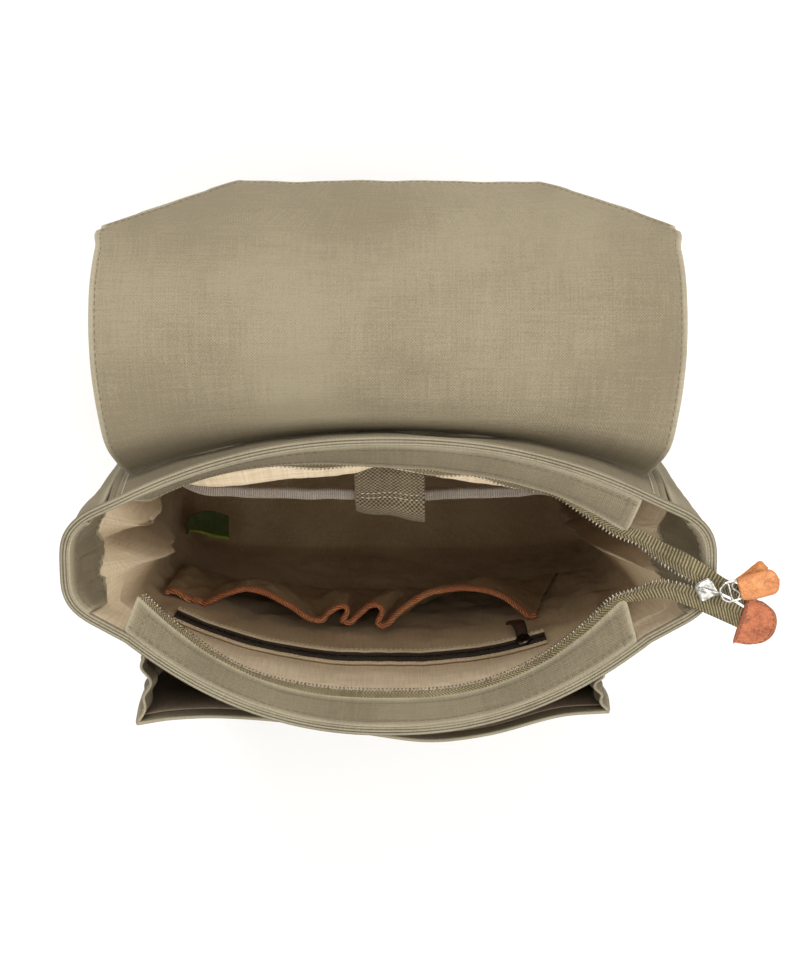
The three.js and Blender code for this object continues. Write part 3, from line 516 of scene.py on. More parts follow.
@dataclass(frozen=True)
class Cloth:
    """Woven cotton. Its colour drifts in soft clouds where dye took unevenly and threads vary along their length;
    painted shade darkens the weave between the threads and a painted highlight lightens their raised tops. Rubbed edges
    are paler, and the same paler colour is painted light on some pieces. Matt, with a faint sheen of loose fibre at a
    low angle."""

    name: str
    slot: str
    ground: str
    shade: str
    # the paler colour of rubbed places, which is also painted light and painted highlight where a mesh marks it
    worn: str
    weave: Weave = Weave.PLAIN
    spacing: float = 0.0011  # the real threads are near 0.6 mm: drawn coarser, so that they show in the render
    relief: float = 0.0003
    sheen: float = 0.25
    roughness: float = 0.92
    # how strongly painted shade darkens the weave between threads, with a painted highlight on the raised threads at
    # four tenths of it
    gap: float = 0.3
    cloud: float = 0.05
    turn: float = 0.0

    def height(self, g: Graph) -> bpy.types.Node:
        """The weave's relief from 0 to 1.

        Plain and basket: half plus half of sin(pi u / p) x sin(pi v / p). Twill: sin(2 pi (u + v) / p). Herringbone:
        the same with v folded back and forth by a triangle wave, so that the slant changes sides.
        """
        uv = g.add("ShaderNodeUVMap", {"uv_map": "cloth"})
        turned = g.add("ShaderNodeMapping", {}, {"Vector": uv, "Rotation": (0, 0, self.turn)})
        split = g.add("ShaderNodeSeparateXYZ", {}, {0: turned})
        u, v = split.outputs[0], split.outputs[1]
        rate = math.pi / self.spacing
        if self.weave in (Weave.PLAIN, Weave.BASKET):
            over = g.math("MULTIPLY", u, rate)
            down = g.math("MULTIPLY", v, rate)
            a = g.math("SINE", over)
            b = g.math("SINE", down)
            both = g.math("MULTIPLY", a, b)
        else:
            if self.weave is Weave.HERRINGBONE:
                fold = g.math("PINGPONG", v, self.spacing * 1.4)
                v = g.math("MULTIPLY", fold, 1.0).outputs[0]
            slant = g.math("ADD", u, v)
            turns = g.math("MULTIPLY", slant, rate * 2)
            both = g.math("SINE", turns)
        return g.math("MULTIPLY_ADD", both, 0.5, 0.5)

    def material(self) -> bpy.types.Material:
        """The cloth's material."""
        g = Graph(self.name)
        here = g.here()
        weave = self.height(g)
        cloud = g.noise(here, 1 / self.cloud, 4.0)
        uv = g.add("ShaderNodeUVMap", {"uv_map": "cloth"})
        warp = g.add("ShaderNodeMapping", {}, {"Vector": uv, "Scale": (1 / self.spacing, 0.035 / self.spacing, 1)})
        weft = g.add("ShaderNodeMapping", {}, {"Vector": uv, "Scale": (0.035 / self.spacing, 1 / self.spacing, 1)})
        slub_a = g.noise(warp, 0.8, 1.0)
        slub_b = g.noise(weft, 0.8, 1.0)
        slubs = g.math("ADD", slub_a, slub_b)
        fuzz = g.noise(here, 1100.0, 2.0)
        drift = g.span(cloud, 0.32, 0.68)
        thread = g.span(slubs, 0.7, 1.3, -0.3, 0.3)
        speckle = g.span(fuzz, 0.35, 0.65, -0.3, 0.3)
        mottle = g.math("ADD", drift, thread)
        tone = g.math("ADD", mottle, speckle)
        body = g.mix(tone, linear(self.shade), linear(self.ground))
        # Painted shade between the threads and painted highlight on their raised tops: the colour scaled by the weave's
        # height.
        gap_shade = g.span(weave, 0.0, 1.0, 1.0 - self.gap, 1.0 + self.gap * 0.4)
        weave_shade_and_highlight = g.add("ShaderNodeVectorMath", {"operation": "SCALE"}, {0: body, "Scale": gap_shade})
        # The paler colour where a mesh is marked: rubbed edges, painted light on the lining's upper walls, and a
        # painted highlight with some rubbing on the rim's ridge tops.
        wear_and_light = g.add("ShaderNodeAttribute", {"attribute_name": "wear_and_light"})
        wear_and_light_share = g.math("MULTIPLY", wear_and_light.outputs["Fac"], 0.75)
        patchy = g.math("MULTIPLY", wear_and_light_share, slubs, clamp=True)
        last = g.mix(patchy, weave_shade_and_highlight, linear(self.worn))
        loose = g.math("MULTIPLY_ADD", slubs, 0.55, weave)
        raised = g.math("MULTIPLY_ADD", fuzz, 0.5, loose)
        sockets = {"Sheen_Weight": self.sheen, "Sheen_Roughness": 0.6, "Sheen_Tint": linear(self.worn)}
        g.finish(last, self.roughness, raised, self.relief, Specular_IOR_Level=0.25, **sockets)
        return g.material


@dataclass(frozen=True)
class Leather:
    """Vegetable-tanned cowhide with an oiled, waxed face: warm and mottled where the oil sits, fine pebbled grain,
    darker at cut edges, and a soft broken gloss."""

    name: str
    slot: str
    ground: str
    shade: str
    pale: str
    grain: float = 0.0012
    relief: float = 0.00022
    gloss: float = 0.42

    def material(self) -> bpy.types.Material:
        """The leather's material."""
        g = Graph(self.name)
        here = g.here()
        cloud = g.add("ShaderNodeTexNoise", {}, {"Vector": here, "Scale": 130.0, "Detail": 4.0, "Distortion": 0.4})
        fine = g.noise(here, 700.0, 3.0)
        grain = {"Vector": here, "Scale": 1 / self.grain}
        cells = g.add("ShaderNodeTexVoronoi", {"feature": "DISTANCE_TO_EDGE"}, grain)
        pebble = g.span(cells, 0.0, 0.25)
        drift = g.span(cloud, 0.35, 0.65)
        body = g.mix(drift, linear(self.shade), linear(self.ground))
        lit = g.span(fine, 0.45, 0.75, 0.0, 0.45)
        tint = g.mix(lit, body, linear(self.pale))
        wear_and_light = g.add("ShaderNodeAttribute", {"attribute_name": "wear_and_light"})
        edge = g.math("MULTIPLY", wear_and_light.outputs["Fac"], 0.7)
        last = g.mix(edge, tint, linear(self.shade))
        rough = g.span(fine, 0.3, 0.7, self.gloss - 0.08, self.gloss + 0.14)
        raised = g.math("MULTIPLY_ADD", fine, 0.6, pebble)
        g.finish(last, rough, raised, self.relief, Coat_Weight=0.12, Coat_Roughness=0.3)
        return g.material


@dataclass(frozen=True)
class Metal:
    """Die-cast zinc or drawn brass wire under nickel plate: bright, finely brushed by tumbling, dulled in patches."""

    name: str
    slot: str
    ground: str
    shade: str
    roughness: float = 0.28

    def material(self) -> bpy.types.Material:
        """The metal's material."""
        g = Graph(self.name)
        here = g.here()
        dull = g.noise(here, 420.0, 4.0)
        fine = g.noise(here, 3000.0, 2.0)
        mask = g.span(dull, 0.4, 0.65)
        tint = g.mix(mask, linear(self.ground), linear(self.shade))
        low, high = self.roughness - 0.06, self.roughness + 0.2
        rough = g.span(dull, 0.35, 0.7, low, high)
        g.finish(tint, rough, fine, 0.00003, Metallic=1.0)
        return g.material


@dataclass(frozen=True)
class Moulded:
    """Injection-moulded nylon: nearly black, with a fine eroded grain and duller scuffs where it rubs."""

    name: str
    slot: str
    ground: str
    shade: str

    def material(self) -> bpy.types.Material:
        """The plastic's material."""
        g = Graph(self.name)
        here = g.here()
        scuff = g.noise(here, 90.0, 5.0)
        grain = g.noise(here, 2600.0, 2.0)
        mask = g.span(scuff, 0.42, 0.68)
        tint = g.mix(mask, linear(self.shade), linear(self.ground))
        rough = g.span(scuff, 0.35, 0.7, 0.42, 0.62)
        g.finish(tint, rough, grain, 0.00004, Specular_IOR_Level=0.45)
        return g.material


@dataclass(frozen=True)
class Thread:
    """Spun cotton-polyester sewing thread: pale, matt, with a slanting twist that shows as fine ridges, darker in its
    grooves as painted shade.
    """

    name: str
    slot: str
    ground: str
    shade: str

    def material(self) -> bpy.types.Material:
        """The thread's material; the twist is sin(2 pi (u + v) / 0.5 mm)."""
        g = Graph(self.name)
        uv = g.add("ShaderNodeUVMap", {"uv_map": "cloth"})
        split = g.add("ShaderNodeSeparateXYZ", {}, {0: uv})
        slant = g.math("ADD", split.outputs[0], split.outputs[1])
        turns = g.math("MULTIPLY", slant, math.tau / 0.0005)
        twist = g.math("SINE", turns)
        mask = g.span(twist, -1.0, 1.0)
        # Painted shade: the twist's grooves take the darker colour, its ridges the paler.
        tint = g.mix(mask, linear(self.shade), linear(self.ground))
        g.finish(tint, 0.85, mask, 0.00008, Sheen_Weight=0.3)
        return g.material


@dataclass(frozen=True)
class Paper:
    """A seamless white paper sweep with the faintest mottle."""

    name: str
    ground: str

    def material(self) -> bpy.types.Material:
        """The floor's material."""
        g = Graph(self.name)
        here = g.here()
        fibre = g.noise(here, 300.0, 3.0)
        g.finish(linear(self.ground), 0.95, fibre, 0.00005, Specular_IOR_Level=0.1)
        return g.material


# Each cloth's gap sets its painted shade between threads and its painted highlight on their tops.
OUTER = Cloth(
    "olive_washed_canvas", "olive_canvas", "#847962", "#706651", "#a49a82", spacing=0.0008, gap=0.2, cloud=0.08
)
# Its worn colour is also the painted highlight on the rim's ridge tops.
RIM_CLOTH = Cloth("rim_canvas_rubbed_and_highlit", "olive_canvas", "#867c66", "#6d6450", "#aca38b", spacing=0.0008, gap=0.2)
UNDER = Cloth(
    "olive_canvas_flap_face", "olive_canvas", "#90856d", "#7c715b", "#aaa089",
    spacing=0.0008, gap=0.16, cloud=0.09, relief=0.0002,
)
# Its worn colour is also painted light on the lining's upper walls.
TAN = Cloth(
    "tan_cotton_lining", "tan_lining", "#c0a580", "#a68a64", "#e0cfb2", spacing=0.0008, gap=0.15, relief=0.00016
)
TAN_LIPS = Cloth("tan_cotton_zip_lips", "tan_lining", "#cbb594", "#b39b78", "#e0cfb2", spacing=0.0008, gap=0.15)
TAN_DEEP = Cloth(
    "tan_cotton_pockets", "tan_lining", "#b1906a", "#977953", "#cbb590", spacing=0.0009, gap=0.15, relief=0.00018
)
TAUPE = Cloth("taupe_pocket_lining", "tan_lining", "#a08b76", "#84705c", "#cabfae", spacing=0.0008, gap=0.15)
GREY = Cloth(
    "grey_twill_binding", "grey_binding", "#968a7e", "#7f7468", "#b7ada0",
    Weave.TWILL, 0.0017, gap=0.3, turn=-math.pi / 4,
)
WEBBING = Cloth(
    "khaki_basket_webbing", "webbing", "#8c7e64", "#665944", "#b3a689", Weave.BASKET, 0.0013, 0.0008, gap=1.0
)
ORANGE = Cloth(
    "orange_twill_binding", "orange_binding", "#d38c60", "#b56c43", "#ecbb98", Weave.TWILL, 0.0021, 0.0006, gap=0.6
)
TAPE = Cloth(
    "olive_herringbone_tape", "zip_tape", "#948766", "#675c42", "#b3a787", Weave.HERRINGBONE, 0.0019, 0.0005, gap=0.75
)
DARK_TAPE = Cloth("black_zip_tape", "dark_tape", "#453b30", "#2b241c", "#5f5142", Weave.TWILL, 0.001, gap=0.3)
GREEN = Cloth(
    "green_satin_label", "green_label", "#5b6638", "#434c28", "#a9b84a", Weave.TWILL, 0.0007, 0.0001, gap=0.15
)
LIME = Cloth("lime_label_edge", "green_label", "#bccb5a", "#9aa845", "#c3cd7a", Weave.TWILL, 0.0007, 0.0001, gap=0.15)
TAN_LEATHER = Leather("oiled_tan_cowhide", "tan_leather", "#da8d4e", "#b56b34", "#efba88")
CHESTNUT = Leather("chestnut_cowhide", "tan_leather", "#bf683a", "#8e4522", "#dd9365")
BROWN_LEATHER = Leather("dark_brown_cowhide", "dark_leather", "#3d241a", "#26150f", "#6b4736")
NICKEL = Metal("nickel_plated_zinc", "zip_metal", "#cfcdc6", "#8f8c85")
TEETH_METAL = Metal("worn_nickel_zip_teeth", "zip_metal", "#b3aa9c", "#6f675c", 0.36)
GUNMETAL = Metal("gunmetal_zip_fittings", "dark_metal", "#5b5650", "#2f2c29", 0.3)
BLACK_PLASTIC = Moulded("black_moulded_nylon", "buckle_plastic", "#34312e", "#1d1b19")
OLIVE_THREAD = Thread("olive_brown_thread", "olive_canvas", "#80745a", "#534936")
PALE_THREAD = Thread("pale_khaki_thread", "olive_canvas", "#d3cbb3", "#a79f86")
DARK_THREAD = Thread("brown_thread", "olive_canvas", "#6f6049", "#4e4231")
WHITE_PAPER = Paper("white_paper_sweep", "#f2f1ef")

_MADE: dict[str, bpy.types.Material] = {}


def dress(obj: bpy.types.Object, finish: object, *nodes: str) -> bpy.types.Object:
    """Gives a finished piece its material, its place on the frame and the CAD nodes that it stands for.

    Args:
        obj: the piece.
        finish: its finish.
        nodes: the CAD nodes that it replaces.

    Returns:
        The piece.
    """
    if finish.name not in _MADE:
        _MADE[finish.name] = finish.material()
    obj.data.materials.append(_MADE[finish.name])
    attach(obj, "root")
    if nodes:
        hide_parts(*nodes)
    LOG.info("%s: %d faces, %s", obj.name, len(obj.data.polygons), finish.name)
    return obj


# --------------------------------------------------------------------------------------------------------------
# The bag's form
# --------------------------------------------------------------------------------------------------------------


class Side(Enum):
    """The bag's four walls."""

    FRONT = "front"
    BACK = "back"
    LEFT = "left"
    RIGHT = "right"


# The outline at each height: shares of the half width and depth.
SECTIONS = Table(
    (0.0, 0.04, 0.12, 0.35, 0.65, 0.88, 1.0),
    {
        "corner": (0.93, 0.965, 0.985, 1.005, 1.013, 1.013, 1.0),
        "front": (-0.59, -0.615, -0.6, -0.53, -0.44, -0.34, -0.277),
        "back": (0.4, 0.415, 0.41, 0.4, 0.37, 0.325, 0.3),
        "bow_front": (0.05, 0.07, 0.11, 0.19, 0.28, 0.37, 0.45),
        "bow_back": (0.03, 0.04, 0.06, 0.1, 0.14, 0.21, 0.273),
        "bow_side": (0.05, 0.07, 0.09, 0.13, 0.16, 0.2, 0.223),
        "power": (4.0, 4.0, 3.2, 2.6, 2.3, 2.2, 2.2),
        "power_side": (4.0, 4.0, 3.4, 3.1, 3.1, 3.3, 3.5),
    },
)
PUFF = Table(
    (0.0, 0.15, 0.35, 0.55, 0.7, 0.78, 0.815, 0.845, 0.87, 0.9, 0.94, 1.0),
    {
        "left": (0.0, 0.1, 0.3, 0.66, 0.92, 1.0, 0.95, 0.55, 0.2, 0.1, 0.04, 0.0),
        "right": (0.45, 0.85, 1.1, 1.2, 1.15, 1.05, 0.95, 0.75, 0.5, 0.3, 0.12, 0.0),
    },
)


@dataclass(frozen=True)
class Bag:
    """The bag's main sizes and the surface of its walls."""

    width: float = 0.302
    depth: float = 0.130
    height: float = 0.400
    canvas: float = 0.002
    base: float = 0.0025
    lining: float = 0.0012
    lining_gap: float = 0.0012
    gap: float = 0.0003
    rim_height: float = 0.003
    rim_inner: float = 0.0044
    sewn: float = 0.0006
    puff_size: float = 0.026

    @property
    def inner(self) -> float:
        """How far in the lining's own face lies."""
        return self.canvas + self.lining_gap + self.lining

    @property
    def wall_top(self) -> float:
        """Where the walls stop under the rim."""
        return self.height - self.rim_height - self.gap

    def line(self, side: Side, share: Array | float) -> tuple[Array, Array, Array, Array]:
        """A wall at a height share: half its length, where it starts from, its bow and the bow's power."""
        corner = SECTIONS.value("corner", share) * self.width / 2
        front = SECTIONS.value("front", share) * self.depth
        back = SECTIONS.value("back", share) * self.depth
        power = SECTIONS.value("power", share)
        if side in (Side.FRONT, Side.BACK):
            bow = SECTIONS.value(f"bow_{side.value}", share) * self.depth
            return corner, (front if side is Side.FRONT else back), bow, power
        bow = SECTIONS.value("bow_side", share) * self.depth
        return (back - front) / 2, corner, bow, SECTIONS.value("power_side", share)

    def wall(self, side: Side, s: Array, share: Array, inset: Array | float = 0.0, margin: float = 0.0) -> Array:
        """Points of a wall: its straight line, bowed out by bow x (1 - |s|^power), and moved in along the normal.

        Args:
            side: which wall.
            s: from -1 to 1 along it.
            share: the height share.
            inset: how far in.
            margin: how far it stays from both corners.

        Returns:
            The points.
        """
        s, share = np.broadcast_arrays(np.asarray(s, float), np.asarray(share, float))
        half, start, bow, power = self.line(side, share)
        t = s * (1 - margin / half)
        size = np.abs(t)
        outward = bow * (1 - size**power)
        slope = bow * power * size ** (power - 1) * np.sign(t)
        length = np.hypot(half, slope)
        in_along, in_out = slope / length * inset, half / length * inset
        along, out = half * t - in_along, outward - in_out
        z = share * self.height
        if side is Side.FRONT:
            return stack(along, start - out, z)
        if side is Side.BACK:
            return stack(along, start + out, z)
        front = SECTIONS.value("front", share) * self.depth
        back = SECTIONS.value("back", share) * self.depth
        sign = -1 if side is Side.LEFT else 1
        return stack(sign * (start + out), (front + back) / 2 + along, z)

    def at(self, side: Side, x: Array, z: Array, inset: Array | float = 0.0) -> Array:
        """The same wall found by x and height, on the front or back."""
        share = np.asarray(z, float) / self.height
        return self.wall(side, np.asarray(x) / self.line(side, share)[0], share, inset)

    def lobes(self, side: Side, s: Array) -> Array:
        """A side wall's place along it with its crease moved to zero: t = s - c (1 - s squared)."""
        s = np.asarray(s, float)
        return s - (0.06 if side is Side.LEFT else -0.1) * (1 - s * s)

    def puff(self, side: Side, s: Array, share: Array) -> Array:
        """How far the side lining puffs in: |sin(pi t)|^0.9, two lobes with a crease between, the front larger."""
        if side in (Side.FRONT, Side.BACK):
            return np.zeros(np.broadcast_shapes(np.shape(s), np.shape(share)))
        t = self.lobes(side, s)
        size = 1.32 - 0.16 * np.tanh(5 * t)
        return self.puff_size * size * np.abs(np.sin(math.pi * t)) ** 0.9 * PUFF.value(side.value, share)

    def ring(self, share: Array | float, inset: float, margin: float, more: object = None) -> Array:
        """The whole outline at a height, seen from above anticlockwise, closed on its first point.

        Args:
            share: one height share, or a column of them for a row of points each.
            inset: how far in it lies.
            margin: how far each side stays from its corners.
            more: a function of side, s and share that gives what is added to the inset.

        Returns:
            The points.
        """
        wide, narrow = np.linspace(-1, 1, 101), np.linspace(-1, 1, 53)
        walk = ((Side.FRONT, wide), (Side.RIGHT, narrow), (Side.BACK, wide[::-1]), (Side.LEFT, narrow[::-1]))
        parts = []
        for side, s in walk:
            extra = self.puff(side, s, share) + (more(side, s, share) if more else 0.0)
            parts.append(self.wall(side, s, share, inset + extra, margin))
        ring = np.concatenate(parts, axis=-2)
        return np.concatenate([ring, ring[..., :1, :]], axis=-2)


BAG = Bag()
UP = np.array([0.0, 0.0, 1.0])
BACKWARD = np.array([0.0, 1.0, 0.0])


# --------------------------------------------------------------------------------------------------------------
# Walls, rim and lining
# --------------------------------------------------------------------------------------------------------------


@dataclass(frozen=True)
class Walls:
    """The outer canvas: four walls, the base and the corner seams."""

    wrinkle: float = 0.0010
    seam_width: float = 0.0042
    seam_height: float = 0.0026

    def wall(self, side: Side, seed: int) -> bpy.types.Object:
        """One wall: its own surface, rippled by soft waves that fade at the seams."""
        wide = side in (Side.FRONT, Side.BACK)
        margin = 0.0 if wide else BAG.canvas + BAG.gap
        s = np.linspace(-1, 1, 101 if wide else 61)[None, :]
        share = np.linspace((BAG.base + BAG.gap) / BAG.height, BAG.wall_top / BAG.height, 91)[:, None]
        half = 0.15 if wide else 0.055
        wave = ripple(s * half, share * BAG.height, 0.075, seed, 1.6)
        wave = wave + 0.4 * ripple(s * half, share * 0.4, 0.03, seed + 1)
        fold = wave * self.wrinkle * (1 - s**6) * smooth(0.0, 0.12, share) * smooth(1.0, 0.9, share)
        outer = BAG.wall(side, s, share, fold, margin)
        inner = BAG.wall(side, s, share, fold + BAG.canvas, margin)
        return make(f"{side.value}_wall_canvas", slab(outer, inner, 0.0004, 0.002))

    def base(self) -> bpy.types.Object:
        """The base: its outline shrunk to its middle by shares, below and above."""
        ring = BAG.ring(0.0, 0.0, 0.001)
        middle = ring.mean(0)
        grow = np.linspace(0, 1, 10)[:, None, None]
        bottom = middle + (ring - middle) * grow
        top = bottom + UP * BAG.base
        edge = np.stack([ring, ring + UP * BAG.base * 0.5, ring + UP * BAG.base])
        uv = bottom[..., :2]
        return make("base_canvas", [Patch(bottom, uv), Patch(top, uv), Patch(edge, edge[..., :2], 0.5)])

    def corner(self, side: Side, end: int) -> Array:
        """The line of a corner from the base to the rim."""
        share = np.linspace(0.008, 0.992, 120)
        return BAG.wall(side, np.full(120, float(end)), share, 0.0002)

    def build(self) -> None:
        """Makes and dresses the walls, the base, the corner welts and their stitches."""
        nodes = {
            Side.FRONT: "front_panel",
            Side.BACK: "back_panel",
            Side.LEFT: "left_gusset",
            Side.RIGHT: "right_gusset",
        }
        for seed, (side, node) in enumerate(nodes.items()):
            dress(self.wall(side, seed * 7 + 3), OUTER, node)
        dress(self.base(), OUTER, "base_panel")
        seams = []
        for side in (Side.FRONT, Side.BACK):
            for end in (-1, 1):
                line = self.corner(side, end)
                tube = sweep(line, np.array([end, 0.0, 0.0]), circle(self.seam_height, self.seam_width, 16, 3.0))
                name = f"corner_welt_{side.value}_{'left' if end < 0 else 'right'}"
                dress(make(name, capped(tube)), OUTER)
                share = np.linspace(0.012, 0.985, 160)
                beside = BAG.wall(side, np.full(160, end * 0.965), share, -0.0002)
                outward = -1.0 if side is Side.FRONT else 1.0
                seams.append(Seam(beside, np.array([0.0, outward, 0.0])))
        dress(sew("corner_stitches", seams), PALE_THREAD)


@dataclass(frozen=True)
class Rim:
    """The turned and top-stitched edge of the mouth: three ridges side by side, their tops paler with painted highlight
    and some rubbing.
    """

    ridges: tuple[float, ...] = (0.0003, 0.0020, 0.0036)
    ridge_width: float = 0.0014
    ridge_height: float = 0.0014

    def profile(self) -> Array:
        """Its cross-section: inset and height, the top a row of half ovals and the bottom flat."""
        inset = np.linspace(-0.0009, 0.0045, 40)
        top = np.zeros_like(inset)
        for centre in self.ridges:
            across = np.clip(np.abs(inset - centre) / (self.ridge_width / 2 + 0.00012), 0, 1)
            top = np.maximum(top, np.sqrt(1 - across**2))
        height = BAG.height - self.ridge_height * (1 - top) - 0.00005
        under = np.linspace(0.0045, -0.0009, 10)
        low = np.full(10, BAG.height - BAG.rim_height)
        profile = np.concatenate([np.stack([inset, height], -1), np.stack([under, low], -1)])
        return np.concatenate([profile, profile[:1]])

    def wander(self, count: int, seed: int, size: float) -> Array:
        """A small closed wobble along the rim: five cosines of whole numbers of turns."""
        rng = np.random.default_rng(seed)
        turn = np.linspace(0, math.tau, count)
        waves = [np.cos(turn * k + rng.uniform(0, math.tau)) / math.sqrt(k) for k in (3, 5, 8, 13, 21)]
        return size * np.sum(waves, axis=0) / 2

    def grid(self) -> Array:
        """The rim's surface: each point of the profile moved round the mouth's outline."""
        profile = self.profile()
        rows = []
        for inset, height in profile:
            ring = BAG.ring(1.0, float(inset), BAG.rim_inner + 0.001)
            ring[:, 2] = height
            rows.append(ring)
        grid = np.stack(rows)
        grid[..., 2] += self.wander(grid.shape[1], 5, 0.0003) - 0.0003
        return grid

    def build(self) -> None:
        """Makes the rim and its rows of stitches in the valleys between the ridges."""
        grid = self.grid()
        # The ridge tops turn paler by height: painted highlight, together with some rubbing.
        wear_and_light = 0.6 * smooth(BAG.height - 0.0010, BAG.height - 0.0004, grid[..., 2])
        dress(make("rim_welt_cloth", [Patch(grid, measure(grid), wear_and_light)]), RIM_CLOTH, "rim_welt")
        seams = []
        for inset in (0.00095, 0.0028):
            line = BAG.ring(1.0, inset, BAG.rim_inner + 0.001)
            line[:, 2] = BAG.height - 0.0012
            seams.append(Seam(line, UP, 0.0027, 0.0018, 0.0006))
        dress(sew("rim_stitches", seams, 0.0005), DARK_THREAD)


# The back lining bulges below the zip band: x and the y of its bulge, in metres, at z = 0.376.
BULGE_AT = (-0.15, -0.127, -0.115, -0.104, -0.087, -0.0655, -0.037, -0.0176)
BULGE_AT += (-0.005, 0.0064, 0.027, 0.058, 0.079, 0.099, 0.125)
BULGE_Y = (0.048, 0.0431, 0.0409, 0.0404, 0.0423, 0.0457, 0.0482, 0.0507)
BULGE_Y += (0.0545, 0.0516, 0.0485, 0.0432, 0.0401, 0.038, 0.043)


@dataclass(frozen=True)
class Lining:
    """The tan cotton lining: one bag inside the bag, puffed in at both sides and under the back zip band."""

    floor_top: float = 0.0049
    margin: float = 0.0054

    def fold(self, side: Side, s: Array, share: Array) -> Array:
        """What the lining stands in beyond its plain inset.

        The back adds a bulge that peaks at z = 0.378 and falls away sharply under it. Every side adds soft wrinkles
        that fade at the rim and the floor, and the gussets a second, narrower set.
        """
        s, share = np.broadcast_arrays(np.asarray(s, float), np.asarray(share, float))
        z = share * BAG.height
        fade = smooth(0.0, 0.1, share) * smooth(0.985, 0.93, share)
        along = s * (0.15 if side in (Side.FRONT, Side.BACK) else 0.06)
        size = 0.0017 if side in (Side.FRONT, Side.BACK) else 0.0036
        total = size * np.abs(ripple(along, z, 0.06, 11 + len(side.value), 1.3)) * fade
        total += 0.0012 * np.abs(ripple(along, z, 0.022, 31 + len(side.value), 0.8)) * fade
        if side is Side.FRONT:
            total *= 1 - 0.85 * hump(z, 0.284, 0.02)
            total += 0.0045 * smooth(0.291, 0.277, z) * smooth(0.12, 0.24, z) * smooth(1.0, 0.9, np.abs(s))
        if side is Side.BACK:
            x = s * BAG.line(side, share)[0]
            wall = BAG.wall(side, s, np.full(s.shape, 0.94), BAG.inner)[..., 1]
            total *= 1 - 0.85 * hump(z, 0.366, 0.02)
            bulge = np.clip(wall - np.interp(x, BULGE_AT, BULGE_Y), 0, 0.02)
            total += bulge * smooth(0.346, 0.364, z) * smooth(0.386, 0.372, z) * smooth(1.0, 0.93, np.abs(s))
        if side in (Side.LEFT, Side.RIGHT):
            t = BAG.lobes(side, s)
            gather = np.abs(np.sin(34 * t + 9 * share)) ** 1.5 * smooth(0.5, 0.8, share)
            total = (total + 0.0016 * gather * smooth(1.0, 0.85, np.abs(s))) * smooth(0.885, 0.835, share)
        return total

    def layer(self, inset: float, floor: float, rows: float) -> Array:
        """One face of the lining: rows from the middle of the floor to its edge and then up the walls."""
        low, high = int(58 * rows), int(40 * rows)
        z = np.concatenate([np.linspace(floor, 0.33, low, endpoint=False), np.linspace(0.33, BAG.wall_top, high)])
        wall = BAG.ring((z / BAG.height)[:, None], inset, self.margin, self.fold)
        wall[..., 2] = z[:, None]
        foot = wall[0]
        middle = foot.mean(0)
        grow = np.linspace(0, 1, int(14 * rows), endpoint=False)[:, None, None]
        bottom = middle + (foot - middle) * grow
        sag = 0.0006 * ripple(bottom[..., 0], bottom[..., 1], 0.05, 77) * np.sin(math.pi * grow[..., 0])
        bottom[..., 2] += np.abs(sag)
        return np.concatenate([bottom, wall])

    def build(self) -> None:
        """Makes the lining: its inner face, its outer face and the strip that joins them at the top."""
        inside = self.layer(BAG.inner, self.floor_top, 1.0)
        outside = self.layer(BAG.inner - BAG.lining, self.floor_top - BAG.lining, 0.8)
        uv = measure(inside)
        top = np.stack([inside[-1], outside[-1]])
        # Painted light: the lining's inner face turns to its paler colour from z 0.25 to 0.33 and stays so above,
        # standing in for the light that falls into the mouth.
        wear_and_light_share = 0.9 * smooth(0.25, 0.33, inside[..., 2])
        patches = [Patch(inside, uv, wear_and_light_share), Patch(outside, measure(outside)), Patch(top, uv[-2:], 1.0)]
        dress(make("lining_cloth", patches), TAN, "lining")
        foot = BAG.ring(0.016, BAG.inner, self.margin)
        foot[:, 2] = self.floor_top + 0.0008
        dress(sew("floor_seam", [Seam(foot, UP, 0.004, 0.0028, 0.0006)]), DARK_THREAD)


@dataclass(frozen=True)
class Facings:
    """The olive facing at the top of each gusset, with a free wavy lower edge."""

    gap: float = 0.002
    cloth: float = 0.0012
    height: float = 0.052

    def grid(self, side: Side) -> Array:
        """A facing: from the rim's inner edge down over the lobes without following the crease between them.

        It stands in by 1.55 x puff x (1 - |s|^5) of the lining's own table, with a fine crease over the lobes' and
        two shallow valleys beside it. Its hem is longer at the crease, by the cosine of the lobes' own angle.
        """
        s = np.linspace(-1, 1, 121)[None, :]
        down = np.linspace(0, 1, 41)[:, None]
        t = BAG.lobes(side, s)
        wave = 0.0034 * np.cos(math.tau * t) * (1 - s**4) + 0.0010 * ripple(s * 0.05, s * 0.0, 0.012, 19)
        z = BAG.height - 0.0012 - down * (self.height - 0.001 + wave)
        share = z / BAG.height
        table = PUFF.value(side.value, np.maximum(share, 0.868))
        inset = BAG.inner + 0.0003 + self.gap * smooth(0.0, 0.08, down)
        inset = inset + 1.55 * BAG.puff_size * table * (1 - np.abs(s) ** 5)
        valley = 0.0016 * (hump(t, 0.3, 0.13) + hump(t, -0.28, 0.16)) + 0.0012 * hump(t, 0.0, 0.025)
        soft = 0.0007 * ripple(s * 0.05, z, 0.03, 9)
        grid = BAG.wall(side, s, share, inset - (valley - soft) * smooth(0.1, 0.6, down), 0.0086)
        grid[..., 2] = z
        return grid

    def build(self) -> None:
        """Makes both facings, their hems' stitches and the crease down the middle of each."""
        seams = []
        for side, node in ((Side.LEFT, "left_facing"), (Side.RIGHT, "right_facing")):
            grid = self.grid(side)
            sign = 1 if side is Side.LEFT else -1
            dress(make(f"{side.value}_gusset_facing", thick(grid, self.cloth * sign, 0.0022)), OUTER, node)
            lifted = moved(grid, 0.0003 * sign)
            seams.append(Seam(lifted[3], UP, 0.0042, 0.003, 0.0007))
            seams.append(Seam(lifted[-3, 4:-4], np.array([sign * 1.0, 0, 0.5]), 0.004, 0.0026, 0.0005))
        dress(sew("facing_stitches", seams), OLIVE_THREAD)


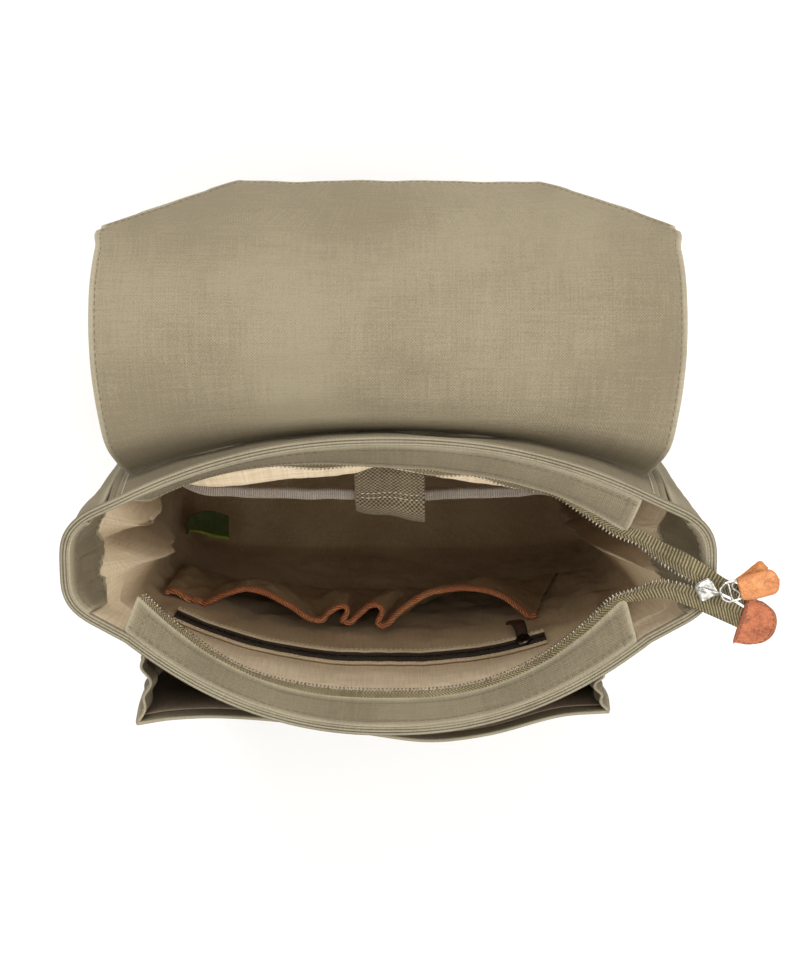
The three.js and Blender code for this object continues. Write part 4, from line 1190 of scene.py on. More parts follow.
# --------------------------------------------------------------------------------------------------------------
# The zipped mouth
# --------------------------------------------------------------------------------------------------------------


@dataclass(frozen=True)
class ZipLine:
    """Where a zip runs along its band: ends and bow as shares of the bag's depth, and how steeply its tape hangs."""

    side: Side
    left: float
    right: float
    bow: float
    power: float
    hang: Table
    inward: int
    end: float = 0.131

    def at(self, s: Array) -> Array:
        """The band's free edge: y = line between the ends + bow x (1 - |s|^power), z dips by 1 - s squared."""
        s = np.asarray(s, float)
        y = lerp(self.left, self.right, (s + 1) / 2) + self.bow * (1 - np.abs(s) ** self.power)
        z = BAG.height - 0.016 * (0.5 + 0.5 * (1 - s * s))
        return stack(np.where(s < 0, self.end, 0.131) * s, y * BAG.depth, z)

    def away(self, s: Array) -> Array:
        """The direction from the band's edge into the mouth: its own direction turned a quarter round."""
        along = self.at(np.asarray(s) + 0.01) - self.at(np.asarray(s) - 0.01)
        out = stack(-along[..., 1], along[..., 0], 0.0) * self.inward
        return out / np.linalg.norm(out, axis=-1, keepdims=True)


FRONT_LINE = ZipLine(
    Side.FRONT,
    -0.13,
    -0.13,
    -0.47,
    2.5,
    Table((-1.0, -0.85, -0.6, -0.3, 0.0, 0.4, 0.8, 1.0), {"angle": (60.0, 70.0, 84.0, 62.0, 55.0, 66.0, 50.0, 12.0)}),
    1,
    0.1385,
)
BACK_LINE = ZipLine(
    Side.BACK,
    0.29,
    0.155,
    0.2,
    3.0,
    Table(
        (-1.0, -0.6, -0.45, -0.3, -0.12, 0.0, 0.2, 0.36, 0.52, 0.7, 0.85, 1.0),
        {"angle": (95.0, 95.0, 80.0, 58.0, 88.0, 90.0, 55.0, 86.0, 55.0, 80.0, 40.0, 12.0)},
    ),
    -1,
)

# The free tail: x is a share of its reach, y of the bag's depth, lift of the tail's lift.
TAIL = Table(
    (0.0, 0.26, 0.52, 0.7, 0.85, 1.0),
    {
        "front_teeth": (-0.13, -0.043, -0.065, -0.09, -0.12, -0.168),
        "front_edge": (-0.17, -0.11, -0.146, -0.185, -0.22, -0.255),
        "back_teeth": (0.155, 0.05, -0.03, -0.07, -0.1, -0.148),
        "back_edge": (0.2, 0.132, 0.07, 0.008, -0.042, -0.07),
        "lift": (0.35, 0.9, 1.0, 1.0, 1.0, 1.0),
    },
)


@dataclass(frozen=True)
class ZipMouth:
    """The bands, tapes and teeth of the mouth's zip, with its free tail over the right side."""

    band: float = 0.0016
    reach: float = 0.93
    tape: float = 0.001
    shown: float = 0.0045
    tooth: float = 0.0026
    pitch: float = 0.0022
    tail_reach: float = 0.066
    tail_lift: float = 0.016

    def band_grid(self, line: ZipLine) -> Array:
        """A band: straight from under the rim to the zip's line, with a low crown between and soft ripples."""
        s = np.linspace(-1, 1, 201)
        reach = np.where(s < 0, 0.985 if line.side is Side.FRONT else self.reach, self.reach)
        edge = BAG.wall(line.side, s * reach, np.ones(201), BAG.rim_inner + BAG.gap)
        edge[:, 2] = BAG.height - BAG.rim_height / 2
        v = np.linspace(0, 1, 22)[:, None, None]
        grid = lerp(edge[None], line.at(s)[None], v)
        crown = 0.0012 * np.sin(math.pi * v[..., 0]) + 0.0005 * ripple(s[None] * 0.13, v[..., 0] * 0.02, 0.03, 4)
        grid[..., 2] += crown * smooth(0, 0.1, v[..., 0])
        return grid

    def tail(self, column: str, at: Array) -> Array:
        """A line of the tail by its column of the table."""
        x = 0.131 + BAG.gap + self.tail_reach * at
        y = TAIL.value(column, at) * BAG.depth
        z = BAG.height - 0.008 + self.tail_lift * (TAIL.value("lift", at) - 0.35)
        return stack(x, y, z)

    def edges(self, line: ZipLine) -> tuple[Array, Array]:
        """The tape's sewn edge and its toothed edge, along the band and on down the tail.

        Along the band the toothed edge is the sewn one moved by cos a into the mouth and sin a down, with a from the
        line's own table. A moving average of both lines rounds the join with the tail.
        """
        s = np.linspace(-0.995, 1, 300)
        angle = np.radians(line.hang.value("angle", s))[:, None]
        base = line.at(s) + line.away(s) * 0.0004
        sewn = base - UP * 0.0004
        toothed = base + line.away(s) * self.shown * np.cos(angle) - UP * self.shown * np.sin(angle)
        at = np.linspace(0.06, 1, 80)
        name = line.side.value
        sewn = np.concatenate([sewn, self.tail(f"{name}_edge", at)])
        toothed = np.concatenate([toothed, self.tail(f"{name}_teeth", at)])
        return self.eased(sewn), self.eased(toothed)

    def eased(self, path: Array, width: int = 17) -> Array:
        """A path after a moving average, its ends kept."""
        padded = np.concatenate([np.repeat(path[:1], width // 2, 0), path, np.repeat(path[-1:], width // 2, 0)])
        kernel = np.hanning(width + 2)[1:-1]
        kernel /= kernel.sum()
        out = np.stack([np.convolve(padded[:, k], kernel, "valid") for k in range(3)], -1)
        out[0], out[-1] = path[0], path[-1]
        return out

    def tape_grid(self, line: ZipLine) -> Array:
        """The tape between its two edges."""
        sewn, toothed = self.edges(line)
        v = np.linspace(0, 1, 12)[:, None, None]
        return lerp(sewn[None], toothed[None], v)

    def teeth(self, line: ZipLine) -> bpy.types.Object:
        """The metal teeth: a rounded bar at every pitch along the toothed edge, as far as the slider."""
        sewn, toothed = self.edges(line)
        keep = slice(0, 300 + 48)
        out = toothed - sewn
        out /= np.linalg.norm(out, axis=-1, keepdims=True)
        path, out = toothed[keep], out[keep]
        share, point, along = resample(path, self.pitch)
        index = np.arange(len(path))
        across = np.stack([np.interp(share, index, out[:, k]) for k in range(3)], -1)
        up = np.cross(along, across)
        up /= np.linalg.norm(up, axis=-1, keepdims=True)
        middle = point + across * self.tooth * 0.28
        corners, quads, uv = beads(middle, across, up, self.tooth, 0.0013, 0.0019)
        return triangled(f"{line.side.value}_zip_metal_teeth", corners, quads, uv)

    def build(self) -> None:
        """Makes the bands, tapes, teeth and their stitches."""
        seams = []
        for line in (FRONT_LINE, BACK_LINE):
            name = line.side.value
            grid = self.band_grid(line)
            sign = facing(grid, 2)
            dress(make(f"{name}_band_canvas", thick(grid, self.band * sign, 0.0018)), OUTER, f"{name}_zip_band")
            tape = self.tape_grid(line)
            turn = facing(tape, 2, 0.5, 0.95)
            dress(make(f"{name}_herringbone_tape", thick(tape, self.tape * turn, 0.0)), TAPE, f"{name}_zip_tape")
            dress(self.teeth(line), TEETH_METAL, f"{name}_zip_teeth")
            lifted = moved(grid, 0.0003 * sign)
            seams.append(Seam(lifted[4], UP, 0.0047, 0.0034, 0.0007))
            seams.append(Seam(lifted[17, 4:-4], UP, 0.0032, 0.0022, 0.0006))
            seams.append(Seam(lifted[1:18, 4], UP, 0.0030, 0.0020, 0.0006))
            seams.append(Seam(lifted[1:18, -5], UP, 0.0030, 0.0020, 0.0006))
        dress(sew("band_stitches", seams), OLIVE_THREAD)


@dataclass(frozen=True)
class ZipPull:
    """The slider, its wire frame, the leather pull folded through it and the leather tab on the tapes' end."""

    length: float = 0.0122
    width: float = 0.0122
    height: float = 0.0038
    frame_length: float = 0.0125
    frame_width: float = 0.011
    wire: float = 0.0014
    frame_turn: float = 0.55
    leather: float = 0.0014
    pull_width: float = 0.0135
    pull_length: float = 0.0205
    tab_length: float = 0.019
    tab_width: float = 0.027
    tab: float = 0.0022

    def seat(self) -> Array:
        """The slider's middle, between the two toothed edges."""
        mouth = ZipMouth()
        return (mouth.tail("front_teeth", np.array(0.66)) + mouth.tail("back_teeth", np.array(0.66))) / 2

    def turned(self, local: Array, angle: float, origin: Array) -> Array:
        """Points turned about the vertical and moved."""
        c, s = math.cos(angle), math.sin(angle)
        x, y = local[..., 0], local[..., 1]
        return stack(c * x - s * y, s * x + c * y, local[..., 2]) + origin

    def slider(self, turn: float, seat: Array) -> bpy.types.Object:
        """The slider's body: a lozenge outline scaled up its height, with a waist between two rounded plates."""
        rows = [(0, 0), (0.86, 0), (1, 0.1), (1, 0.28), (0.84, 0.36)]
        rows += [(0.84, 0.62), (1, 0.7), (1, 0.88), (0.86, 1), (0, 1)]
        angle = np.linspace(0, math.tau, 65)
        narrow = 1 - 0.42 * smooth(-0.2, 1.0, np.cos(angle))
        outline = np.stack([self.length / 2 * np.cos(angle), self.width / 2 * np.sin(angle) * narrow], -1)
        outline *= 1 + 0.06 * np.cos(4 * angle)[:, None]
        dense = np.concatenate([np.linspace(rows[i], rows[i + 1], 4, endpoint=False) for i in range(9)] + [[rows[-1]]])
        grown = outline[None] * dense[:, :1, None]
        local = stack(grown[..., 0], grown[..., 1], dense[:, 1:] * self.height)
        return make("zip_slider_body", [Patch(self.turned(local, turn, seat), local[..., :2])])

    def bridge(self, turn: float, seat: Array) -> bpy.types.Object:
        """The slider's bridge: a flat bar that arches over the top plate as a half sine."""
        t = np.linspace(0, 1, 30)
        path = stack((t - 0.42) * self.length * 0.95, 0.0, self.height - 0.0004 + 0.0022 * np.sin(math.pi * t) ** 0.7)
        tube = sweep(path, UP, circle(0.0026, 0.0009, 14, 3.0))
        return make("zip_slider_bridge", capped(self.turned(tube, turn, seat)))

    def wires(self, turn: float, seat: Array) -> bpy.types.Object:
        """The frame: a rounded loop of wire, with one straight wire and one S-shaped wire across it."""
        angle = np.linspace(0, math.tau, 90)
        x = self.frame_length / 2 * (1 + np.sign(np.cos(angle)) * np.abs(np.cos(angle)) ** 0.55)
        y = self.frame_width / 2 * np.sign(np.sin(angle)) * np.abs(np.sin(angle)) ** 0.55
        y *= 0.72 + 0.28 * smooth(0, self.frame_length * 0.35, x)
        loop = stack(x, y, 0.0)
        tube = sweep(np.concatenate([loop[-2:-1], loop, loop[1:2]]), UP, circle(self.wire, self.wire, 12))[1:-1]
        tube[-1] = tube[0]
        t = np.linspace(0, 1, 30)
        bar = stack(self.frame_length * 0.42, (t - 0.5) * self.frame_width * 0.86, 0.0)
        curl = stack(self.frame_length * (0.68 + 0.12 * np.sin(math.tau * t)), (t - 0.5) * self.frame_width * 0.86, 0.0)
        parts = [tube, sweep(bar, UP, circle(0.0012, 0.0012)), sweep(curl, UP, circle(0.0011, 0.0011))]
        patches = [Patch(self.turned(parts[0], turn, seat), measure(tube))]
        for part in parts[1:]:
            patches += capped(self.turned(part, turn, seat))
        return make("zip_pull_wire", patches)

    def strip(self, path: Array, width: Array, name: str, turn: float, seat: Array) -> bpy.types.Object:
        """A strip of leather: a path in the x-z plane given a width at each point, and then a thickness."""
        across = np.linspace(-1, 1, 17)[None, :]
        cup = 0.00035 * (1 - across**2)
        local = stack(path[:, None, 0], path[:, None, 1] + width[:, None] / 2 * across, path[:, None, 2] + cup)
        grid = self.turned(local, turn, seat)
        return make(name, thick(grid, self.leather, 0.0012))

    def tab_grid(self, turn: float, seat: Array) -> Array:
        """The end tab: a D whose length at each place across is its full length x (1 - |v|^2.6)^0.5."""
        v = np.linspace(-0.997, 0.997, 61)[None, :]
        u = np.linspace(0, 1, 41)[:, None]
        x = self.tab_length * u * (1 - np.abs(v) ** 2.6) ** 0.5
        z = 0.0010 * np.sin(math.pi * u) * (1 - v**2) + 0.0005 * ripple(x, v * 0.013, 0.012, 3)
        return self.turned(stack(x, v * self.tab_width / 2, z), turn, seat)

    def build(self) -> None:
        """Makes the slider, frame, pull and tab."""
        turn = math.atan2(-0.07 * BAG.depth, 0.5 * ZipMouth.tail_reach)
        seat = self.seat() + UP * 0.0003
        dress(self.slider(turn, seat - UP * 0.0004), NICKEL, "zip_slider")
        dress(self.bridge(turn, seat), NICKEL)
        start = np.array([[self.length / 2 + 0.0003 + self.wire, 0.0, self.leather + 0.0018]])
        hinge = self.turned(start, turn, seat)[0]
        angle = turn + self.frame_turn
        dress(self.wires(angle, hinge), NICKEL, "zip_pull_frame")
        bar = self.turned(np.array([[self.frame_length - self.wire / 2, 0.0, 0.0]]), angle, hinge)[0]
        self.pull(angle, bar)
        self.end_tab(turn)

    def pull(self, angle: float, bar: Array) -> None:
        """The folded pull: its upper layer lies outward with a rounded end, its lower layer turns up beside it."""
        t = np.linspace(0, 1, 70)
        bend = np.clip(t / 0.16, 0, 1) * math.pi
        radius = self.wire / 2 + self.leather / 2 + 0.0002
        out = np.clip((t - 0.16) / 0.84, 0, 1) * self.pull_length
        x = -np.sin(bend) * radius + out
        z = -np.cos(bend) * radius + 0.0011 * np.sin(out / self.pull_length * 2.4)
        tip = ((out - self.pull_length * 0.72) / (self.pull_length * 0.285)).clip(0, 1)
        end = np.sqrt(np.clip(1 - tip**2.4, 0.002, 1))
        width = self.pull_width * (0.8 + 0.2 * smooth(0, 0.4, t)) * end
        upper = stack(x, 0.0, z + 0.0006)
        dress(self.strip(upper, width, "pull_leather_upper", angle, bar), TAN_LEATHER, "zip_pull_leather")
        reach = np.linspace(0, 1, 50)
        along = reach * self.pull_length * 0.82
        low = stack(along, 0.0052 * reach**1.5, -radius - 0.0001 + 0.0052 * reach**3)
        round_end = np.sqrt(np.clip(1 - np.clip((reach - 0.8) / 0.205, 0, 1) ** 2.4, 0.002, 1))
        size = self.pull_width * 0.8 * round_end
        dress(self.strip(low, size, "pull_leather_lower", angle + 0.2, bar), TAN_LEATHER)

    def end_tab(self, turn: float) -> None:
        """The tab, one thick sheet, and its stitches."""
        mouth = ZipMouth()
        one = np.array(1.0)
        seat = (mouth.tail("front_edge", one) + mouth.tail("back_edge", one)) / 2
        seat = seat + np.array([-self.tab_length * 0.14, -self.tab_width * 0.2, 0.0012 + BAG.gap])
        grid = self.tab_grid(turn * 0.5 - 0.12, seat)
        sign = facing(grid, 2)
        dress(make("end_tab_leather", thick(grid, self.tab * sign, 0.0012)), CHESTNUT, "zip_end_tab")
        inner = grid[2:-3, 3:-3]
        ring = moved(inner, 0.0001 * sign)
        path = border(ring)
        dress(sew("end_tab_stitches", [Seam(path, UP, 0.0030, 0.0022, 0.0006)]), DARK_THREAD)


# --------------------------------------------------------------------------------------------------------------
# Inside: sleeve, organiser, zip pocket and label
# --------------------------------------------------------------------------------------------------------------


def flat_map(obj: bpy.types.Object, first: int, second: int) -> bpy.types.Object:
    """Gives a mesh the map that its places have on two axes, for cloth whose own map a remesh took away."""
    mesh = obj.data
    places = np.empty(len(mesh.vertices) * 3, np.float32)
    mesh.vertices.foreach_get("co", places)
    corners = np.empty(len(mesh.loops), np.int32)
    mesh.loops.foreach_get("vertex_index", corners)
    layer = mesh.uv_layers.get("cloth") or mesh.uv_layers.new(name="cloth")
    layer.data.foreach_set("uv", places.reshape(-1, 3)[corners][:, [first, second]].ravel())
    return obj


def applied(obj: bpy.types.Object) -> None:
    """Replaces an object's mesh by what its modifiers make of it, and removes them."""
    shown = obj.evaluated_get(bpy.context.evaluated_depsgraph_get())
    mesh = bpy.data.meshes.new_from_object(shown)
    obj.modifiers.clear()
    obj.data = mesh


def inflate(obj: bpy.types.Object, voxel: float, cap: float, pressure: float = 4.0) -> bpy.types.Object:
    """Pads a closed form by cloth simulation: an even remesh, twenty frames of pressure, and a cap on every move.

    Args:
        obj: the form, slightly smaller than the pad.
        voxel: the remesh's size.
        cap: the furthest that a point moves, in metres.
        pressure: the pressure inside.

    Returns:
        The same object, with its padded mesh.
    """
    remesh = obj.modifiers.new("even_cloth", "REMESH")
    remesh.mode, remesh.voxel_size = "VOXEL", voxel
    applied(obj)
    before = np.empty(len(obj.data.vertices) * 3, np.float32)
    obj.data.vertices.foreach_get("co", before)
    cloth = obj.modifiers.new("pad", "CLOTH")
    cloth.settings.use_pressure = True
    cloth.settings.uniform_pressure_force = pressure
    cloth.settings.effector_weights.gravity = 0.0
    cloth.settings.quality = 4
    cloth.point_cache.frame_start, cloth.point_cache.frame_end = 1, 20
    for frame in range(1, 21):
        bpy.context.scene.frame_set(frame)
    shown = obj.evaluated_get(bpy.context.evaluated_depsgraph_get()).data
    after = np.empty_like(before)
    shown.vertices.foreach_get("co", after)
    obj.modifiers.clear()
    bpy.context.scene.frame_set(1)
    step = (after - before).reshape(-1, 3)
    size = np.linalg.norm(step, axis=1, keepdims=True)
    step *= np.minimum(size, cap) / np.maximum(size, 1e-9)
    obj.data.vertices.foreach_set("co", (before.reshape(-1, 3) + step).ravel())
    obj.data.polygons.foreach_set("use_smooth", np.ones(len(obj.data.polygons), dtype=bool))
    obj.data.update()
    finer = obj.modifiers.new("finer", "SUBSURF")
    finer.levels = finer.render_levels = 1
    applied(obj)
    return obj


@dataclass(frozen=True)
class Sleeve:
    """The padded laptop sleeve on the back wall, its bound top edge and the webbing strap over it."""

    width: float = 0.248
    height: float = 0.338
    padding: float = 0.004
    forward: float = 0.0065
    sag: float = 0.0045
    binding: float = 0.0062
    binding_height: float = 0.0048
    strap: float = 0.038
    strap_cloth: float = 0.002
    strap_reach: float = 0.051
    strap_drop: float = 0.054

    def face(self, s: Array, z: Array) -> Array:
        """The sleeve's back face: flat and sagging forward, curled back to the lining at both edges by |s|^24."""
        x = s * self.width / 2
        behind = BAG.at(Side.BACK, x, z, BAG.inner + BAG.sewn)[..., 1]
        corner = BAG.wall(Side.BACK, np.ones(np.shape(z)), z / BAG.height)[..., 1]
        flat = corner - self.forward - self.sag * (1 - s * s)
        return stack(x, lerp(np.minimum(flat, behind), behind, np.abs(s) ** 24), z)

    def panel(self) -> bpy.types.Object:
        """The padded panel, swelled a little by simulation."""
        s = np.sin(np.linspace(-math.pi / 2, math.pi / 2, 101))[None, :]
        z = np.linspace(0.0054, self.height, 101)[:, None]
        s, z = np.broadcast_arrays(s, z)
        back = self.face(s, z)
        soft = 0.0016 * ripple(s * 0.124, z, 0.07, 21, 1.5) * (1 - s**8)
        front = back - stack(0.0, self.padding + soft * 0.6, 0.0)
        obj = make("sleeve_padding", slab(front, back, 0.0012, 0.0))
        inflate(obj, 0.0050, 0.0012)
        return flat_map(obj, 0, 2)

    def top_edge(self) -> Array:
        """The middle of the sleeve's top edge, with a soft wobble."""
        s = np.sin(np.linspace(-math.pi / 2, math.pi / 2, 200)) * 0.995
        z = np.full(200, self.height + 0.0012)
        path = self.face(s, z) - stack(0.0, self.padding / 2, 0.0)
        path[:, 1] += 0.0005 * ripple(s * 0.124, z, 0.03, 51)
        path[:, 2] += 0.0006 * ripple(s * 0.124, z, 0.025, 52)
        return path

    def webbing(self) -> Array:
        """The strap: out from the lining in an arch, over the binding and down the sleeve, cut slantwise."""
        rows = Table(
            (0.0, 0.14, 0.29, 0.46, 0.61, 0.73, 0.86, 1.0),
            {
                "out": (0.0, 0.2, 0.41, 0.65, 0.84, 0.96, 1.0, 1.0),
                "up": (0.34, 0.36, 0.27, 0.12, 0.06, -0.12, -0.38, -0.62),
            },
        )
        t = np.linspace(0, 1, 90)[:, None]
        w = np.linspace(-0.5, 0.5, 40)[None, :]
        start = BAG.at(Side.BACK, 0.0, 0.3643, BAG.inner + BAG.sewn)[1]
        top = self.height + BAG.gap + 0.004
        slant = -0.006 * w * smooth(0.5, 1.0, t)
        x = self.strap * w + 0.0015 * t
        y = start - self.strap_reach * rows.value("out", t) + 0.0006 * np.cos(w * 9) - 0.010 * w * smooth(0.3, 1.0, t)
        z = top + BAG.gap + self.strap_drop * rows.value("up", t) + slant + 0.0006 * ripple(x, t * 0.06, 0.03, 8)
        return stack(x, y, z)

    def build(self) -> None:
        """Makes the panel, the binding, the strap and their stitches."""
        panel = dress(self.panel(), TAN_DEEP, "sleeve_panel")
        path = self.top_edge()
        tube = sweep(path, UP, circle(self.binding, self.binding_height + 0.0016, 26, 3.4))
        dress(make("sleeve_twill_binding", capped(tube)), GREY, "sleeve_binding")
        strap = self.webbing()
        sign = facing(strap, 2, 0.35)
        dress(make("sleeve_webbing", thick(strap, self.strap_cloth * sign, 0.0)), WEBBING, "sleeve_strap")
        lifted = moved(strap, 0.0003 * sign)
        low = path - np.array([0.0, self.binding / 2, 0.0006])
        seams = [Seam(lifted[k, 2:-2], UP, 0.0030, 0.0021, 0.0006) for k in (40, 44)]
        seams.append(Seam(low, np.array([0.0, -1.0, 0.4]), 0.0030, 0.0020, 0.0005))
        dress(sew("sleeve_stitches", seams), PALE_THREAD)


# The organiser's bound edge seen from above, in metres: two wide pockets, and two pen loops that lean over.
EDGE = Table(
    tuple(i / 30 for i in range(31)),
    {
        "x": (-0.1450, -0.1400, -0.1355, -0.1295, -0.1223, -0.1108, -0.0949, -0.0810, -0.0665, -0.0526, -0.0443)
        + (-0.0398, -0.0328, -0.0284, -0.0278, -0.0303, -0.0253, -0.0202, -0.0119, -0.0062, -0.0049, -0.0075)
        + (-0.0024, 0.0078, 0.0224, 0.0382, 0.0572, 0.0731, 0.0827, 0.0900, 0.0960),
        "y": (-0.0556, -0.0549, -0.0582, -0.0641, -0.0635, -0.0582, -0.0536, -0.0563, -0.0635, -0.0727, -0.0738)
        + (-0.0692, -0.0651, -0.0650, -0.0694, -0.0742, -0.0752, -0.0705, -0.0641, -0.0650, -0.0694, -0.0758)
        + (-0.0771, -0.0674, -0.0576, -0.0536, -0.0536, -0.0582, -0.0645, -0.0705, -0.0750),
    },
)


@dataclass(frozen=True)
class Organiser:
    """The row of pockets on the front lining, puffed open at the top, with an orange twill binding."""

    top: float = 0.236
    depth: float = 0.120
    cloth: float = 0.0016
    binding: float = 0.0036
    binding_height: float = 0.0078

    def front(self, x: Array, z: Array, away: Array | float) -> Array:
        """The front lining's own face with its soft folds, moved into the bag."""
        share = np.asarray(z, float) / BAG.height
        s = np.clip(x / (BAG.line(Side.FRONT, share)[0] - Lining.margin), -1, 1)
        inset = BAG.inner + BAG.sewn + Lining().fold(Side.FRONT, s, share)
        return BAG.at(Side.FRONT, x, z, inset) + stack(0.0, away, 0.0)

    def surface(self, at: Array, z: Array, away: Array | float) -> Array:
        """The pockets' cloth: it leaves the lining as height^0.7, with creases that fan down from the seams."""
        height = np.clip((z - self.top + self.depth) / self.depth, 0, 1)
        x = EDGE.value("x", at)
        straight = lerp(-0.144, 0.118, at)
        stand = np.maximum(EDGE.value("y", at) - self.front(x, np.full(x.shape, self.top), 0.0)[..., 1], 0.001)
        crease = 0.0014 * ripple(at * 0.26, z, 0.03, 61, 2.2) * height * (1 - height) * 4
        here = lerp(straight, x, height**0.8)
        return self.front(here, z, stand * height**0.7 + np.abs(crease) + away)

    def build(self) -> None:
        """Makes the pockets and their binding."""
        at = np.linspace(0, 1, 321)[None, :]
        z = np.linspace(self.top - self.depth, self.top, 36)[:, None]
        at, z = np.broadcast_arrays(at, z)
        face, back = self.surface(at, z, self.cloth), self.surface(at, z, 0.0)
        dress(make("organiser_pockets", slab(face, back, 0.0004, 0.0)), TAN_DEEP, "organiser_panel")
        line = np.linspace(0, 1, 480)
        path = self.surface(line, np.full(480, self.top), self.cloth / 2)
        path[:, 2] += self.binding_height / 2 - 0.0022 + 0.0006 * ripple(line * 0.262, line, 0.03, 62)
        tube = sweep(path, UP, circle(self.binding, self.binding_height, 18, 2.8))
        dress(make("organiser_twill_binding", capped(tube)), ORANGE, "organiser_binding")
        edge = path + np.array([0.0, self.binding / 2 - 0.0001, 0.0])
        dress(sew("organiser_stitches", [Seam(edge, np.array([0.0, 1.0, 0.5]), 0.0032, 0.0022, 0.0005)]), DARK_THREAD)


@dataclass(frozen=True)
class InnerZip:
    """The dark zip of the pocket in the front lining, its slider and its leather pull."""

    length: float = 0.232
    left: float = -0.134
    width: float = 0.009
    rise: float = 0.284
    slider: float = 0.008
    pull_length: float = 0.030
    pull_width: float = 0.008

    def band(self, low: float, high: float, away: float, rows: int = 9) -> Array:
        """A strip of the front lining between two heights beside the zip's line."""
        x = self.left + self.length * np.linspace(0, 1, 220)[None, :]
        z = self.rise + np.linspace(low, high, rows)[:, None]
        x, z = np.broadcast_arrays(x, z)
        return Organiser().front(x, z, away)

    def build(self) -> None:
        """Makes the tape, the coil, the folded lips above and below, the slider and the pull."""
        tape = self.band(-self.width / 2, self.width / 2, 0.0014)
        back = self.band(-self.width / 2, self.width / 2, 0.0)
        dress(make("inner_zip_tape", slab(tape, back, 0.0003, 0.0)), DARK_TAPE, "inner_zip")
        middle = self.band(0, 0, 0.0019, 2)[0]
        share, point, along = resample(middle, 0.0013)
        into = np.array([0.0, 1.0, 0.3])
        across = np.broadcast_to(np.array([0.0, -0.3, 1.0]), point.shape)
        across = across / np.linalg.norm(across, axis=-1, keepdims=True)
        corners, quads, uv = beads(point, across, np.broadcast_to(into, point.shape), 0.0034, 0.0009, 0.0012)
        dress(triangled("inner_zip_coil", corners, quads, uv), GUNMETAL)
        seams = []
        for sign, name in ((1, "upper"), (-1, "lower")):
            line = self.band(sign * 0.0058, sign * 0.0058, 0.0012, 2)[0]
            tube = sweep(line, BACKWARD, circle(0.0036, 0.0020, 14, 2.4))
            dress(make(f"inner_zip_{name}_lip", capped(tube)), TAN_LIPS)
            stitch = self.band(sign * 0.0066, sign * 0.0066, 0.0023, 2)[0]
            seams.append(Seam(stitch, into, 0.0030, 0.0021, 0.0006))
        dress(sew("inner_zip_stitches", seams), PALE_THREAD)
        self.fittings()

    def fittings(self) -> None:
        """The slider and the round-ended leather pull that lies up over the lining below it."""
        x = self.left + self.length * 0.94
        organiser = Organiser()
        angle = np.linspace(0, math.tau, 49)
        rows = np.array([(0, 0), (0.9, 0), (1, 0.15), (1, 0.7), (0.85, 0.95), (0.0, 1.0)])
        dense = np.concatenate([np.linspace(rows[i], rows[i + 1], 4, endpoint=False) for i in range(5)] + [rows[-1:]])
        sx = x + dense[:, :1] * 0.0046 * np.cos(angle)[None]
        sz = self.rise + dense[:, :1] * 0.0042 * np.sin(angle)[None]
        body = organiser.front(sx, sz, 0.0016 + dense[:, 1:] * 0.0030)
        dress(make("inner_slider_body", [Patch(body, stack(sx, sz, 0.0)[..., :2])]), GUNMETAL, "inner_zip_slider")
        t = np.linspace(0, 1, 60)
        hang = self.rise - 0.004 - t * self.pull_length
        end = np.sqrt(np.clip(1 - np.clip((t - 0.78) / 0.225, 0, 1) ** 2.2, 0.002, 1))
        half = self.pull_width / 2 * (0.78 + 0.22 * smooth(0.2, 0.7, t)) * end
        across = np.linspace(-1, 1, 15)[None, :]
        lean = 0.006 * t**1.5
        px = x - lean[:, None] + half[:, None] * across
        pz = np.broadcast_to(hang[:, None], px.shape)
        grid = organiser.front(px, pz, 0.0026 + 0.006 * np.sin(math.pi * t * 0.9)[:, None] - 0.0004 * across**2)
        turn = facing(grid, 1)
        dress(make("inner_pull_leather", thick(grid, 0.0018 * turn, 0.001)), BROWN_LEATHER, "inner_zip_pull")
        square = moved(grid, 0.0002 * turn)[44:52, 3:12]
        step, into = np.arange(8), BACKWARD
        cross = [Seam(square[step, k], into, 0.0022, 0.0016, 0.0005) for k in (step, 8 - step)]
        dress(sew("inner_pull_stitches", cross, 0.0004), PALE_THREAD)


@dataclass(frozen=True)
class Label:
    """A bare woven label in the side seam, bent over itself, with a lime lower edge."""

    low: Table = Table(
        (0.0, 0.12, 0.32, 0.58, 0.8, 1.0),
        {
            "x": (-0.1440, -0.1435, -0.1415, -0.1345, -0.1253, -0.1154),
            "y": (-0.0540, -0.0537, -0.0532, -0.0547, -0.0576, -0.0591),
        },
    )
    high: Table = Table(
        (0.0, 0.12, 0.32, 0.58, 0.8, 1.0),
        {
            "x": (-0.1440, -0.1435, -0.1420, -0.1365, -0.1276, -0.1149),
            "y": (-0.0525, -0.0480, -0.0414, -0.0380, -0.0371, -0.0400),
        },
    )

    def grid(self, low: float, high: float, lift: float) -> Array:
        """The label between its two long edges, which meet in a tail at the seam, and bowed up between them."""
        u = np.linspace(0, 1, 70)[None, :]
        v = np.linspace(low, high, 18)[:, None]
        x = lerp(self.low.value("x", u), self.high.value("x", u), v)
        y = lerp(self.low.value("y", u), self.high.value("y", u), v)
        z = 0.077 + 0.009 * v + 0.003 * np.sin(math.pi * v) + 0.003 * np.sin(math.tau * u) * v + lift
        return stack(x, y, z)

    def build(self) -> None:
        """Makes the label's field and its edge."""
        field = self.grid(0.08, 1.0, 0.0)
        edge = self.grid(-0.01, 0.09, 0.0005)
        for name, grid, finish, nodes in (("label_field", field, GREEN, ("label",)), ("label_edge", edge, LIME, ())):
            sign = facing(grid, 2)
            dress(make(name, thick(grid, 0.0009 * sign, 0.0)), finish, *nodes)


# --------------------------------------------------------------------------------------------------------------
# Outside: flap, front pocket and back straps
# --------------------------------------------------------------------------------------------------------------


